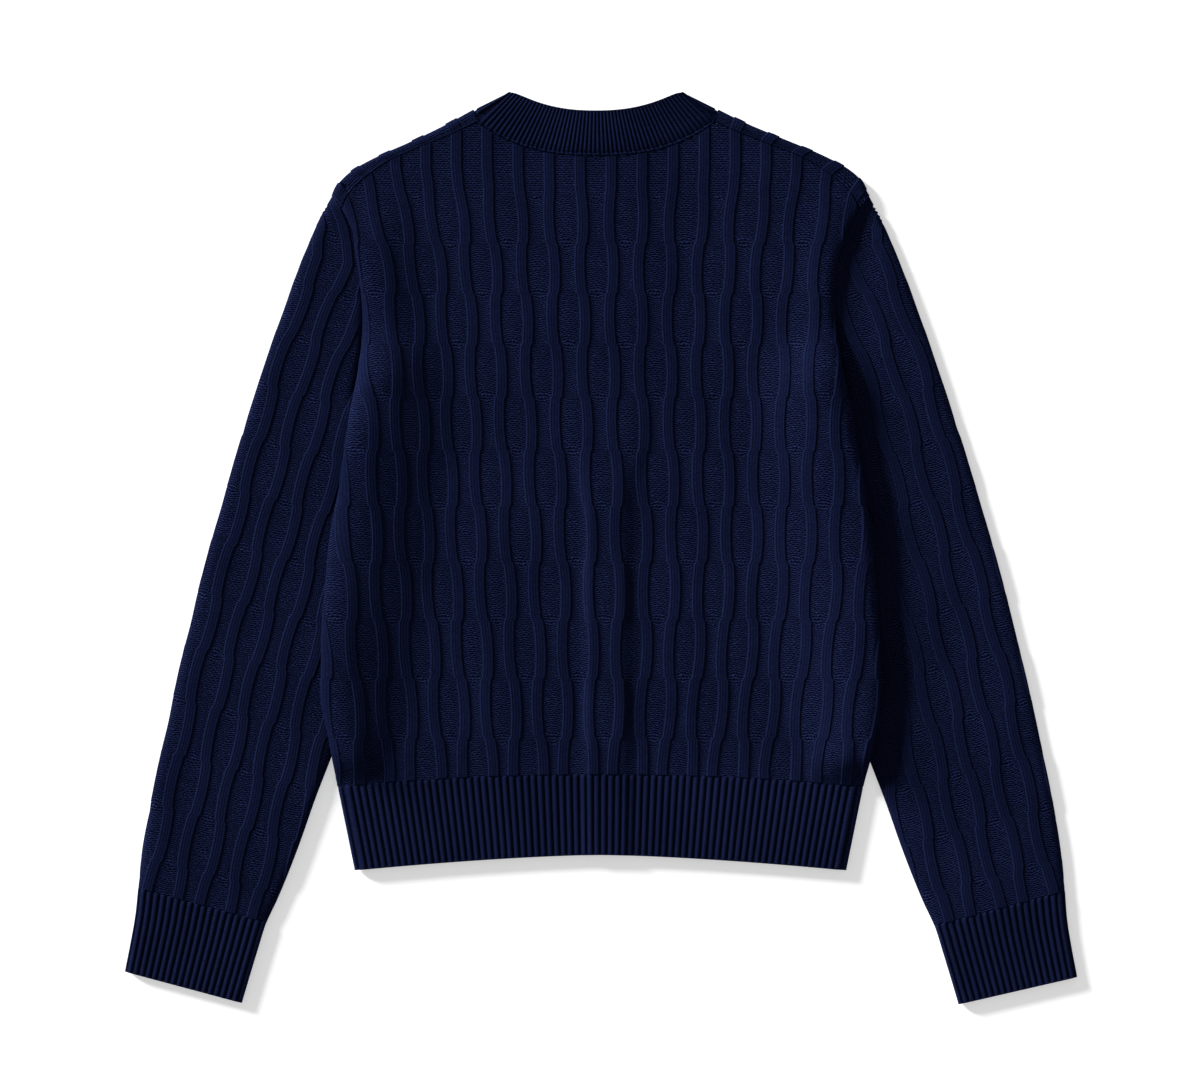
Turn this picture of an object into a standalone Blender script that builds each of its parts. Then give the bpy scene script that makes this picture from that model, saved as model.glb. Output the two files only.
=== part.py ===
"""Knitted cardigan laid flat, face down: the back is on top, the buttoned fronts lie under it.

Lengths are in millimetres until a mesh is made. X runs across the body, Y runs up to the neck,
Z is height above the surface. -X is the wearer's left.
"""

import math
from collections import namedtuple

import bmesh
import bpy
import numpy as np
from mathutils import Matrix, Vector

MM = 0.001
MERGE = 0.05
SAME_POINT = 0.0005

# ---- Cloth ----
WALL = 2.2
SEAM_GAP = 0.3
RIB_RISE = 1.1
RIB_TOP_HALF = 3.6
RIB_FOOT_HALF = 4.6
BAND_RIB_RISE = 0.8

# ---- Heights of the lying garment ----
BODY_THICK = 7.0
SIDE_LIFT = 8.2
SLEEVE_THICK = 6.4
FOLD_HALF = BODY_THICK / 2
ROLL_TOP = 12.0
ROLL_UNDER = 4.0
SHOULDER_ROLL = 5.0
NECKBAND_ROLL = 0.6
SHOULDER_ANGLES = (0, 45, 90, 135, 180)
SHOULDER_STATIONS = (0.0, 0.05, 0.1, 0.22, 0.34, 0.46, 0.56, 0.66, 0.76, 0.83, 0.88, 0.92, 0.96, 1.0)
SHOULDER_STATIONS_INNER = tuple(share for share in SHOULDER_STATIONS if share != 0.22)
SLEEVE_ROLL_OUTER = 7.0
SLEEVE_ROLL_INNER = 6.0

# ---- Button front ----
PLACKET_LEFT = -10.0
PLACKET_RIGHT = 20.0
PLACKET_CENTRE = (PLACKET_LEFT + PLACKET_RIGHT) / 2
BUTTON_RADIUS = 7.5
BUTTON_THICK = 2.2
BUTTON_SIDES = 12
SOFT_EDGE = 0.5
BUTTON_COUNT = 7
BUTTON_TOP_Y = 250.0
BUTTON_STEP = 77.5
OUTER_BAND_Z = BUTTON_THICK + SEAM_GAP
INNER_BAND_Z = OUTER_BAND_Z + WALL + SEAM_GAP
PLACKET_RISE = 2.8
PLACKET_RUN_LEFT = 18.0
PLACKET_RUN_RIGHT = 14.0
RIDGE_MARGIN = 3.0
RIDGE_SLOPE = 9.0
RIDGE_SLOPE_MORE = 12.0
RIDGE_SLOPE_FROM_Y = 20.0
RIDGE_SLOPE_OVER = 120.0
RIDGE_END_ABOVE_SEAM = 15.0
RIDGE_END_OVER = 40.0

# ---- Outline of the body: height along the garment, half its width, and how far it leans to +X ----
BodyRow = namedtuple("BodyRow", "y half lean")
BODY = (
    BodyRow(259.5, 198.5, 0.0),
    BodyRow(244.0, 190.5, -0.5),
    BodyRow(227.0, 186.5, -2.0),
    BodyRow(202.5, 183.0, -2.0),
    BodyRow(175.5, 181.5, -1.0),
    BodyRow(153.0, 183.5, 0.0),
    BodyRow(128.5, 187.5, 0.0),
    BodyRow(107.0, 192.5, 0.5),
    BodyRow(78.0, 196.5, 0.5),
    BodyRow(48.5, 201.0, 1.0),
    BodyRow(13.0, 207.0, 0.0),
    BodyRow(-26.0, 211.0, 0.0),
    BodyRow(-71.0, 214.0, 0.0),
    BodyRow(-118.5, 214.0, 0.0),
    BodyRow(-148.5, 209.0, 1.0),
    BodyRow(-184.6, 202.0, 0.0),
)
ARMPIT_Y = 175.5
TIP_Y = 259.5
LOW_Y = BODY[-1].y
SIDE_TURN_TIP = 30.0
SIDE_TURN_FULL = 90.0
EDGE_SNAP = 0.6

# ---- Where the body's side climbs over the sleeve: |x| where it leaves the floor and where it is up ----
ClimbRow = namedtuple("ClimbRow", "y foot crest")
CLIMB = (
    ClimbRow(175.5, 150.0, 181.0),
    ClimbRow(128.0, 128.0, 184.0),
    ClimbRow(90.0, 118.0, 172.0),
    ClimbRow(51.0, 112.0, 152.0),
    ClimbRow(20.0, 118.0, 152.0),
    ClimbRow(-11.0, 128.0, 158.0),
    ClimbRow(-41.0, 136.0, 164.0),
    ClimbRow(-72.0, 146.0, 174.0),
    ClimbRow(-111.0, 158.0, 186.0),
    ClimbRow(-148.0, 172.0, 204.0),
    ClimbRow(-184.6, 180.0, 212.0),
)
CLIMB_FULL_Y = 121.0
CLIMB_LAST_Y = -160.0
CLIMB_CLEAR = 2.0
CLIMB_RUN = 18.0

# ---- Shoulder, from the neck to the tip: the fold in front and the seam behind it ----
ShoulderRow = namedtuple("ShoulderRow", "fold_x fold_y seam_x seam_y")
SHOULDER = (
    ShoulderRow(94.0, 335.2, 91.5, 325.7),
    ShoulderRow(118.0, 322.5, 114.0, 316.0),
    ShoulderRow(144.0, 310.5, 138.0, 306.5),
    ShoulderRow(168.0, 300.3, 160.0, 297.0),
    ShoulderRow(188.0, 289.7, 179.0, 284.0),
    ShoulderRow(200.0, 279.5, 193.0, 270.5),
    ShoulderRow(207.0, 270.0, 198.5, 259.5),
)

RIGHT_SHOULDER_RISE = 1.8

# ---- Neck ----
NECK_CENTRE = -3.5
NECK_HALF = 91.5
NECK_SEAM_Y = 300.0
NECK_SEAM_RISE = 25.7
NECK_TOP_Y = 335.0
NECK_TOP_HALF = 65.5
NECK_TOP_RISE = 16.0
FRONT_NECK_Y = 239.0
FRONT_NECK_STATIONS = (1.0, 0.84, 0.62, 0.36, 0.0)
NECKBAND_FRONT = 32.0
NECKBAND_RIBS = 52

# ---- Hem ----
HEM_SEAM_Y = -175.0
HEM_SEAM_DROP = 9.6
HEM_SEAM_HALF = 202.0
HEM_EDGE_Y = -237.0
HEM_EDGE_DROP = 12.0
HEM_EDGE_HALF = 189.0
HEM_RIBS = 74

HEM_ROLL = 8.0
HEM_STEPS = (0.0, 0.5, 1.0)

# ---- Wavy ribs of the body: their pitch and how far the outer ones lean in ----
RibRow = namedtuple("RibRow", "y centre pitch squeeze_left squeeze_right")
BODY_RIBS = (
    RibRow(291.0, -3.9, 23.9, 2.7, 1.2),
    RibRow(214.0, -3.1, 22.5, 7.7, 0.8),
    RibRow(98.6, -0.8, 21.8, 8.5, 2.7),
    RibRow(-17.0, 2.7, 21.25, 5.0, 2.8),
    RibRow(-94.0, 3.1, 20.25, 0.8, 0.8),
    RibRow(-171.0, 1.8, 18.95, -4.0, -4.0),
)
RIBS_EACH_SIDE = 11
SQUEEZE_RIB = 7.5
SQUEEZE_LIMIT = 1.2
KINK_TOP_Y = 270.3
KINK_STEP = 37.0
KINK_GROWTH = 0.477
WAVE_TOP = 1.7
WAVE_HEM = 2.2

# ---- Sleeve, along its own line from the shoulder tip ----
SLEEVE_ANGLE = math.radians(15.0)
SLEEVE_ORIGIN = (173.2, 260.4)
SleeveRow = namedtuple("SleeveRow", "along outer inner outer_right")
SLEEVE = (
    SleeveRow(0.0, -35.2, -24.0, -35.0),
    SleeveRow(20.0, -39.4, -14.0, -39.2),
    SleeveRow(51.6, -44.2, 0.0, -43.9),
    SleeveRow(84.3, -47.4, 13.0, -47.5),
    SleeveRow(106.2, -49.2, 17.2, -49.3),
    SleeveRow(143.8, -51.7, 21.4, -51.8),
    SleeveRow(165.8, -52.8, 39.5, -53.1),
    SleeveRow(198.3, -54.1, 66.0, -54.7),
    SleeveRow(228.7, -54.7, 77.0, -55.8),
    SleeveRow(260.0, -55.4, 80.5, -56.8),
    SleeveRow(320.3, -55.5, 80.6, -57.5),
    SleeveRow(357.3, -54.7, 80.2, -56.9),
    SleeveRow(413.5, -52.6, 77.0, -55.2),
    SleeveRow(447.4, -50.9, 73.4, -53.3),
    SleeveRow(492.8, -48.2, 69.8, -50.5),
    SleeveRow(519.7, -46.0, 66.8, -47.9),
    SleeveRow(535.0, -43.8, 64.6, -45.7),
    SleeveRow(552.1, -40.8, 61.5, -42.5),
    SleeveRow(573.0, -37.4, 60.5, -38.4),
    SleeveRow(594.4, -35.5, 59.8, -36.1),
    SleeveRow(617.0, -34.0, 59.2, -34.4),
)
CUFF_SEAM = 552.1
CUFF_END = 617.0
CUFF_SLANT_RIGHT = 1.6
CUFF_MIDDLE = 15.0
CUFF_HALF = 45.0
CUFF_RIBS = 18
SLEEVE_RIB_PITCH = 20.8
SLEEVE_RIB_CENTRE = 1.5
SLEEVE_RIBS = (-2, -1, 0, 1, 2, 3)
SLEEVE_RIB_SHIFT = 3.0
SLEEVE_SHIFT_FROM = 350.0
SLEEVE_SHIFT_OVER = 100.0
SLEEVE_WAVE = 1.8
SLEEVE_KINK_LAST = 528.0
SLEEVE_KINK_STEP = 41.6
RIGHT_DROP = 2.6
RIGHT_DROP_FROM = 150.0
RIGHT_DROP_OVER = 250.0
CAP_FAN = 15.0
CAP_FAN_LENGTH = 150.0

# ---- Soft folds pressed into the back: place, run, width and height ----
Fold = namedtuple("Fold", "x lean top bottom half_width rise")
FOLD_RUN_TOP = 60.0
FOLD_RUN_LOW = 50.0
BACK_FOLDS = (
    Fold(-104.0, 0.05, 40.0, -160.0, 16.0, 1.2),
    Fold(60.0, -0.06, 20.0, -165.0, 15.0, 0.9),
    Fold(112.0, 0.04, 190.0, -60.0, 20.0, 1.0),
)

NAVY = (0.0052, 0.0069, 0.0231)
NAVY_DEEP = (0.0044, 0.0058, 0.0190)
BUTTON_NAVY = (0.0060, 0.0075, 0.0200)


# ---- Small helpers ----
def ease(value):
    """0 below 0, 1 above 1, with soft ends between."""
    t = min(max(value, 0.0), 1.0)
    return t * t * (3.0 - 2.0 * t)


def column(rows, key, name):
    """A smooth function through one named column of a table, against another."""
    pairs = sorted((getattr(row, key), getattr(row, name)) for row in rows)
    places = np.array([pair[0] for pair in pairs])
    values = np.array([pair[1] for pair in pairs])
    slopes = np.gradient(values, places)

    def value_at(place):
        place = min(max(place, places[0]), places[-1])
        i = min(max(int(np.searchsorted(places, place)) - 1, 0), len(places) - 2)
        width = places[i + 1] - places[i]
        t = (place - places[i]) / width
        near = (2 * t**3 - 3 * t**2 + 1) * values[i] + (t**3 - 2 * t**2 + t) * width * slopes[i]
        far = (3 * t**2 - 2 * t**3) * values[i + 1] + (t**3 - t**2) * width * slopes[i + 1]
        return float(near + far)

    return value_at


half_width = column(BODY, "y", "half")
lean = column(BODY, "y", "lean")
foot_line = column(CLIMB, "y", "foot")
crest_line = column(CLIMB, "y", "crest")
shoulder_seam_y = column(SHOULDER, "seam_x", "seam_y")
rib_centre = column(BODY_RIBS, "y", "centre")
rib_pitch = column(BODY_RIBS, "y", "pitch")
squeeze_left = column(BODY_RIBS, "y", "squeeze_left")
squeeze_right = column(BODY_RIBS, "y", "squeeze_right")
sleeve_outer_left = column(SLEEVE, "along", "outer")
sleeve_outer_right = column(SLEEVE, "along", "outer_right")
sleeve_inner = column(SLEEVE, "along", "inner")


# ---- Form of the lying body ----
def edge_x(side, y):
    return lean(y) + side * half_width(y)


def climb_crest(y):
    """The climb ends before the side roll begins."""
    return min(crest_line(y), half_width(y) - ROLL_TOP - CLIMB_CLEAR)


def climb_foot(y):
    return min(foot_line(y), climb_crest(y) - CLIMB_RUN)


def under_z(x, y):
    """The underside of the fronts: on the floor, over the placket's buttons and over the sleeves."""
    foot, crest = climb_foot(y), climb_crest(y)
    level = ease((ARMPIT_Y - y) / (ARMPIT_Y - CLIMB_FULL_Y))
    level *= ease((y - LOW_Y) / (CLIMB_LAST_Y - LOW_Y))
    return SIDE_LIFT * level * ease((abs(x) - foot) / (crest - foot))


def placket_z(x):
    """How far the fronts rise to meet the button bands."""
    if x < PLACKET_CENTRE:
        return INNER_BAND_Z * ease((x - PLACKET_LEFT + PLACKET_RUN_LEFT) / PLACKET_RUN_LEFT)
    return OUTER_BAND_Z * ease((PLACKET_RIGHT + PLACKET_RUN_RIGHT - x) / PLACKET_RUN_RIGHT)


def fold_z(x, y):
    total = 0.0
    for fold in BACK_FOLDS:
        middle = fold.x + fold.lean * (fold.top - y)
        run = ease((fold.top - y) / FOLD_RUN_TOP) * ease((y - fold.bottom) / FOLD_RUN_LOW)
        total += fold.rise * run * math.exp(-(((x - middle) / fold.half_width) ** 2))
    return total


def top_z(x, y):
    """The upper side of the back, without its ribs."""
    slope = RIDGE_SLOPE + RIDGE_SLOPE_MORE * ease((y - RIDGE_SLOPE_FROM_Y) / RIDGE_SLOPE_OVER)
    plateau = (PLACKET_RIGHT - PLACKET_LEFT) / 2 + RIDGE_MARGIN
    ridge = PLACKET_RISE * ease(1.0 - (abs(x - PLACKET_CENTRE) - plateau) / slope)
    ridge *= ease((NECK_SEAM_Y + RIDGE_END_ABOVE_SEAM - y) / RIDGE_END_OVER)
    return under_z(x, y) + BODY_THICK + ridge + fold_z(x, y)


def back_turn(y):
    """How far round the side roll the back's edge lies."""
    more = SIDE_TURN_FULL - SIDE_TURN_TIP
    return math.radians(SIDE_TURN_TIP + more * ease((TIP_Y - y) / (TIP_Y - ARMPIT_Y)))


def front_turn(y):
    return math.radians(SIDE_TURN_FULL * ease((TIP_Y - y) / (TIP_Y - ARMPIT_Y)))


def body_roll(side, y, radius, turn, angle, cloth, upper):
    """A point of the side roll: at angle from its flat start, cloth deep inside the outer face."""
    end = edge_x(side, y)
    centre = abs(end) - radius * math.sin(turn)
    flat = side * centre
    x = side * (centre + (radius - cloth) * math.sin(angle))
    if upper:
        middle = top_z(flat, y) - FOLD_HALF + SEAM_GAP / 2
        return x, middle + (FOLD_HALF - SEAM_GAP / 2 - cloth) * math.cos(angle)
    middle = under_z(flat, y) + FOLD_HALF - SEAM_GAP / 2
    return x, middle - (FOLD_HALF - SEAM_GAP / 2 - cloth) * math.cos(angle)


def kink_phase(y):
    """Half waves below the topmost kink row."""
    drop = max(KINK_TOP_Y - y, 0.0)
    return (math.sqrt(KINK_STEP**2 + 4 * KINK_GROWTH * drop) - KINK_STEP) / (2 * KINK_GROWTH)


def kink_y(phase):
    return KINK_TOP_Y - KINK_STEP * phase - KINK_GROWTH * phase**2


def body_rib(index, y):
    """Place of one wavy rib round the back; neighbours wave against each other."""
    number = index + 0.5
    wave = WAVE_TOP + (WAVE_HEM - WAVE_TOP) * (KINK_TOP_Y - y) / (KINK_TOP_Y - HEM_SEAM_Y)
    wave *= -math.sin(math.pi * kink_phase(y)) * (1 if index % 2 == 0 else -1)
    squeeze = squeeze_left(y) if number < 0 else squeeze_right(y)
    squeeze *= min(abs(number / SQUEEZE_RIB) ** 3, SQUEEZE_LIMIT) * math.copysign(1.0, number)
    return rib_centre(y) + rib_pitch(y) * number - squeeze + wave


def rib_rise(place, middles):
    """Height of the ribs at a place, from the middles of the ribs near it."""
    nearest = min(abs(place - middle) for middle in middles)
    return RIB_RISE * min(max((RIB_FOOT_HALF - nearest) / (RIB_FOOT_HALF - RIB_TOP_HALF), 0.0), 1.0)


# ---- Walls of cloth ----
class Wall:
    """Gathers the faces of one closed piece; points that coincide become one."""

    def __init__(self, name):
        self.name = name
        self.index = {}
        self.points = []
        self.faces = []

    def point(self, place):
        key = tuple(int(round(value / SAME_POINT)) for value in place)
        if key not in self.index:
            self.index[key] = len(self.points)
            self.points.append(tuple(float(value) * MM for value in place))
        return self.index[key]

    def face(self, *places):
        corners = []
        for place in places:
            corner = self.point(place)
            if corner not in corners:
                corners.append(corner)
        if len(corners) > 2:
            self.faces.append(corners)

    def sheet(self, rows, skip=None):
        for j in range(len(rows) - 1):
            for i in range(len(rows[j]) - 1):
                if skip and skip(j, i):
                    continue
                self.face(rows[j][i], rows[j][i + 1], rows[j + 1][i + 1], rows[j + 1][i])

    def rim(self, first, second):
        """Joins two edge lines with unlike numbers of points."""
        first, second = distinct(first), distinct(second)
        a, b = shares(first), shares(second)
        i = j = 0
        while i < len(first) - 1 or j < len(second) - 1:
            next_a = a[i + 1] if i < len(first) - 1 else 2.0
            next_b = b[j + 1] if j < len(second) - 1 else 2.0
            if next_a <= next_b:
                self.face(first[i], first[i + 1], second[j])
                i += 1
            else:
                self.face(first[i], second[j + 1], second[j])
                j += 1

    def build(self, collection, material):
        mesh = bpy.data.meshes.new(self.name)
        mesh.from_pydata(self.points, [], self.faces)
        shell = bmesh.new()
        shell.from_mesh(mesh)
        bmesh.ops.remove_doubles(shell, verts=shell.verts, dist=MERGE * MM)
        bmesh.ops.recalc_face_normals(shell, faces=shell.faces)
        bmesh.ops.triangulate(shell, faces=shell.faces)
        if shell.calc_volume(signed=True) < 0:
            bmesh.ops.reverse_faces(shell, faces=shell.faces)
        shell.to_mesh(mesh)
        shell.free()
        return finish(bpy.data.objects.new(self.name, mesh), collection, material)


def distinct(line):
    kept = [line[0]]
    for place in line[1:]:
        if np.linalg.norm(np.subtract(place, kept[-1])) > 1e-3:
            kept.append(place)
    return kept


def shares(line):
    """How far along the line each point is, from 0 to 1."""
    steps = [np.linalg.norm(np.subtract(b, a)) for a, b in zip(line, line[1:])]
    total = max(sum(steps), 1e-9)
    return np.concatenate([[0.0], np.cumsum(steps) / total])


def finish(piece, collection, material):
    piece.data.materials.append(material)
    piece.data.shade_smooth()
    piece.data.set_sharp_from_angle(angle=math.radians(35))
    collection.objects.link(piece)
    return piece


def cloth_wall(name, outer, inner, collection, material):
    """A panel: an outer sheet, a plain inner one, and a rim along each of its four edges."""
    wall = Wall(name)
    wall.sheet(outer)
    wall.sheet(inner)
    wall.rim(outer[0], inner[0])
    wall.rim(outer[-1], inner[-1])
    wall.rim([row[0] for row in outer], [row[0] for row in inner])
    wall.rim([row[-1] for row in outer], [row[-1] for row in inner])
    return wall.build(collection, material)


# ---- Back ----
YOKE_ROWS = {322.0, 300.0, 285.0}
HALF_KINKS = 23
KINK_AT_ARMPIT = 5
BACK_ROWS = sorted(
    YOKE_ROWS
    | {TIP_Y, ARMPIT_Y, HEM_SEAM_Y - HEM_SEAM_DROP - 1.0}
    | {kink_y(n / 2) for n in range(HALF_KINKS) if n != KINK_AT_ARMPIT},
    reverse=True,
)
INNER_AT_ROLL = (0.0, 3.0, 6.5, 10.5, 14.5)
INNER_AT_CLIMB = (0.0, 0.35, 0.65)
INNER_AT_RIDGE = (-40.0, -28.0, -17.0, 17.0, 28.0, 40.0)
INNER_AT_FOLDS = (-98.0, -80.0, -62.0, -48.0, 58.0, 72.0, 88.0, 104.0)
OUTER_BESIDE_ROLL = 7.0
ALL_ROWS_ABOVE_Y = 110.0
ALL_ROWS_BELOW_Y = -150.0
SEAM_TRIES = 40


def neck_seam_y(x):
    share = min(abs(x - NECK_CENTRE) / NECK_HALF, 1.0)
    return NECK_SEAM_Y + NECK_SEAM_RISE * share**2.6


def hem_seam_y(x):
    return HEM_SEAM_Y - HEM_SEAM_DROP * min(abs(x) / HEM_SEAM_HALF, 1.0) ** 2.2


def hem_limit_y(x):
    return hem_seam_y(x) + SEAM_GAP / 2


def shoulder_shift(seam):
    """The shoulders lean with the neck at their inner ends."""
    share = (seam - NECK_HALF) / (SHOULDER[-1].seam_x - NECK_HALF)
    return NECK_CENTRE * (1.0 - min(max(share, 0.0), 1.0))


def back_limit_y(x):
    """The back's upper boundary: neck seam, then shoulder seam."""
    from_centre = abs(x - NECK_CENTRE)
    if from_centre < NECK_HALF:
        return neck_seam_y(x) - SEAM_GAP / 2
    seam = abs(x)
    for _ in range(4):
        seam = abs(x - shoulder_shift(seam))
    return shoulder_seam_y(max(seam, SHOULDER[0].seam_x)) - SEAM_GAP / 2


def back_point(place, y, cloth, rise):
    """The back at a distance round from the middle; cloth deep inside its outer face."""
    side = 1 if place >= 0 else -1
    body_y = min(y, TIP_Y)
    turn = back_turn(body_y)
    end = abs(edge_x(side, body_y))
    flat_end = end - ROLL_TOP * math.sin(turn)
    roll_length = math.hypot(ROLL_TOP * math.sin(turn), FOLD_HALF * (1 - math.cos(turn)))
    if abs(place) <= flat_end:
        step = 0.5
        slope = (top_z(place + step, y) - top_z(place - step, y)) / (2 * step)
        depth = cloth * math.sqrt(1 + slope**2)
        return place, y, top_z(place, y) - depth + rise
    angle = turn * min((abs(place) - flat_end) / roll_length, 1.0)
    x, z = body_roll(side, body_y, ROLL_TOP, turn, angle, cloth, True)
    return x, y, z + rise * math.cos(angle)


def back_reach(side, y):
    body_y = min(y, TIP_Y)
    turn = back_turn(body_y)
    flat_end = abs(edge_x(side, body_y)) - ROLL_TOP * math.sin(turn)
    return flat_end + math.hypot(ROLL_TOP * math.sin(turn), FOLD_HALF * (1 - math.cos(turn)))


def held_in(place, y):
    """Moves a nominal point of the back onto the panel, onto its edge where it would fall outside."""
    side = 1 if place >= 0 else -1
    reach = back_reach(side, y)
    if abs(place) > reach - EDGE_SNAP:
        place = side * reach
    return place


def back_places(y, fine):
    """Distances round from the middle, left to right."""
    turn_left, turn_right = back_reach(-1, y), back_reach(1, y)
    if fine:
        places = []
        for index in range(-RIBS_EACH_SIDE, RIBS_EACH_SIDE):
            middle = body_rib(index, y)
            for offset in (-RIB_FOOT_HALF, -RIB_TOP_HALF, RIB_TOP_HALF, RIB_FOOT_HALF):
                places.append(middle + offset)
        places += [-turn_left + OUTER_BESIDE_ROLL, turn_right - OUTER_BESIDE_ROLL]
        places = [min(max(place, -turn_left), turn_right) for place in places]
        return [-turn_left] + sorted(places) + [turn_right]
    foot, crest = climb_foot(y), climb_crest(y)
    places = [-turn_left + away for away in INNER_AT_ROLL] + [turn_right - away for away in INNER_AT_ROLL]
    places += [side * (foot + (crest - foot) * share) for side in (-1, 1) for share in INNER_AT_CLIMB]
    places += [PLACKET_CENTRE + away for away in INNER_AT_RIDGE]
    places += INNER_AT_FOLDS
    return sorted(places)


def every_other(heights):
    """Rows for the plain inner side: all where the side climbs, every other one between."""
    kept = []
    for j, y in enumerate(heights):
        if y > ALL_ROWS_ABOVE_Y or y < ALL_ROWS_BELOW_Y or j % 2 == 0:
            kept.append(y)
    return kept


def seam_crossing(i, y, seam, fine):
    """Where column i of the back meets a seam that y is near."""
    for _ in range(SEAM_TRIES):
        y = 0.6 * y + 0.4 * seam(held_in(back_places(y, fine)[i], y))
    return round(y, 4)


def back_rows(cloth, fine):
    """Rows from the neck and shoulder seams down to the hem seam."""
    heights = BACK_ROWS if fine else every_other(BACK_ROWS)
    inset = 0.0 if fine else 2 * SEAM_GAP
    count = len(back_places(0.0, fine))
    tops = [seam_crossing(i, NECK_SEAM_Y, back_limit_y, fine) - inset for i in range(count)]
    lows = [seam_crossing(i, HEM_SEAM_Y, hem_limit_y, fine) for i in range(count)]
    rows = []
    for y in heights:
        row = []
        for i in range(count):
            at = y
            if y > TIP_Y and at > tops[i] - 4.0:
                at = tops[i]
            if at < lows[i] + 3.0:
                at = lows[i]
            place = held_in(back_places(at, fine)[i], at)
            rise = 0.0
            if fine:
                side = 1 if place >= 0 else -1
                middles = [body_rib(index, at) for index in range(-RIBS_EACH_SIDE, RIBS_EACH_SIDE)]
                rise = rib_rise(place, middles) * ease((back_reach(side, at) - abs(place)) / 2.0)
            row.append(back_point(place, at, cloth, rise))
        rows.append(row)
    return rows


def make_back(collection, material):
    outer = back_rows(0.0, True)
    inner = back_rows(WALL, False)
    return cloth_wall("back", outer, inner, collection, material)


# ---- Fronts ----
NECK_START_Y = 201.0
FRONT_SIDE_ROWS = [y for y in BACK_ROWS if HEM_SEAM_Y < y <= TIP_Y]


def front_neck_point(turn):
    """The front neckline from the neck's centre, from the shoulder (0) to the middle (90 degrees)."""
    x = NECK_HALF * math.cos(turn)
    y = FRONT_NECK_Y + (SHOULDER[0].seam_y - 2.0 - FRONT_NECK_Y) * (1 - math.sin(turn))
    return x, y


def front_neck_turns(side):
    """Where the neckline's corners are, from the button band to the shoulder."""
    at_band = math.acos(abs(band_edge(side) - NECK_CENTRE) / NECK_HALF)
    return [at_band * share for share in FRONT_NECK_STATIONS]


def band_edge(side):
    return PLACKET_LEFT - SEAM_GAP / 2 if side < 0 else PLACKET_RIGHT + SEAM_GAP / 2


def front_rows(side, cloth, fine):
    """Rows from the hem seam up the underside, round the shoulder fold and down to the back seam."""
    rows = []
    beside = sorted(FRONT_SIDE_ROWS)
    if not fine:
        beside = every_other(beside)
    starts = inner_edge_starts(side)
    low = HEM_SEAM_Y - HEM_SEAM_DROP + 0.2
    for y in [low] + beside:
        start = starts(y)
        rows.append(front_row(side, start, y, cloth, fine))
    rows += shoulder_rows(side, cloth, fine)
    return rows


def inner_edge_starts(side):
    """The inner end of each row: up the centre edge, then along the neckline."""
    limit = band_edge(side)
    corners = [(limit, NECK_START_Y)]
    for turn in front_neck_turns(side):
        x, y = front_neck_point(turn)
        corners.append((NECK_CENTRE + side * x, y))
    heights = sorted(y for y in FRONT_SIDE_ROWS if y >= ARMPIT_Y - 0.01)

    def start(y):
        if y < ARMPIT_Y - 0.01:
            return limit, max(y, HEM_SEAM_Y)
        return corners[heights.index(y)]

    return start


def front_row(side, start, y, cloth, fine):
    turn = front_turn(y)
    end = abs(edge_x(side, y))
    flat_end = end - ROLL_UNDER * math.sin(turn)
    begin = side * start[0]
    foot = min(max(climb_foot(y), begin + 20.0), flat_end - 12.0)
    crest = min(max(climb_crest(y), foot + 6.0), flat_end - 2.0)
    near_band = begin + 7.0, begin + 14.0
    between = [begin + (foot - begin) * share for share in ((0.4, 0.7) if fine else (0.6,))]
    climb = [foot + (crest - foot) * share for share in (0.0, 0.25, 0.5, 0.75, 1.0)]
    row = []
    for far in [begin, *near_band, *between, *climb, flat_end]:
        share = (far - begin) / (flat_end - begin)
        at = start[1] + (y - start[1]) * share
        at = max(at, hem_seam_y(far) + SEAM_GAP / 2)
        x = side * far
        lift = max(under_z(x, at), placket_z(x))
        row.append((x, at, lift + cloth))
    at = max(y, hem_seam_y(end) + SEAM_GAP / 2)
    for share in (0.35, 0.7, 1.0):
        x, z = body_roll(side, y, ROLL_UNDER, turn, turn * share, cloth, False)
        row.append((x, at, z))
    return row


def shoulder_point(side, share, degrees, cloth):
    """On the fold that carries the front over the shoulder: 0 is the underside, 180 the top."""
    fold = Vector((fold_x(share), fold_y(share)))
    seam = Vector((seam_x(share), seam_y(share)))
    out = (fold - seam).normalized()
    turn = math.radians(degrees)
    if side > 0:
        fold.y += RIGHT_SHOULDER_RISE * ease(share / 0.4) * ease((1.0 - share) / 0.25)
    at = fold + out * ((SHOULDER_ROLL - cloth) * math.sin(turn) - SHOULDER_ROLL)
    x = side * at.x + shoulder_shift(seam.x)
    return x, at.y, FOLD_HALF - (FOLD_HALF - cloth) * math.cos(turn)


def shoulder_rows(side, cloth, fine):
    """Rows round the shoulder fold, and the last one along the seam with the back."""
    shares_across = SHOULDER_STATIONS if fine else SHOULDER_STATIONS_INNER
    rows = []
    for degrees in SHOULDER_ANGLES if fine else SHOULDER_ANGLES[::2]:
        rows.append([shoulder_point(side, share, degrees, cloth) for share in shares_across])
    last = []
    for share in shares_across:
        fold = Vector((fold_x(share), fold_y(share)))
        seam = Vector((seam_x(share), seam_y(share)))
        at = seam + (fold - seam).normalized() * SEAM_GAP * 1.8
        last.append((side * at.x + shoulder_shift(seam.x), at.y, BODY_THICK - cloth))
    rows.append(last)
    return rows


def column_line(name):
    """A column of the shoulder table against the share of the way from neck to tip."""
    row = namedtuple("row", "share value")
    count = len(SHOULDER) - 1
    spots = [row(i / count, getattr(spot, name)) for i, spot in enumerate(SHOULDER)]
    return column(spots, "share", "value")


fold_x, fold_y = column_line("fold_x"), column_line("fold_y")
seam_x, seam_y = column_line("seam_x"), column_line("seam_y")


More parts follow.
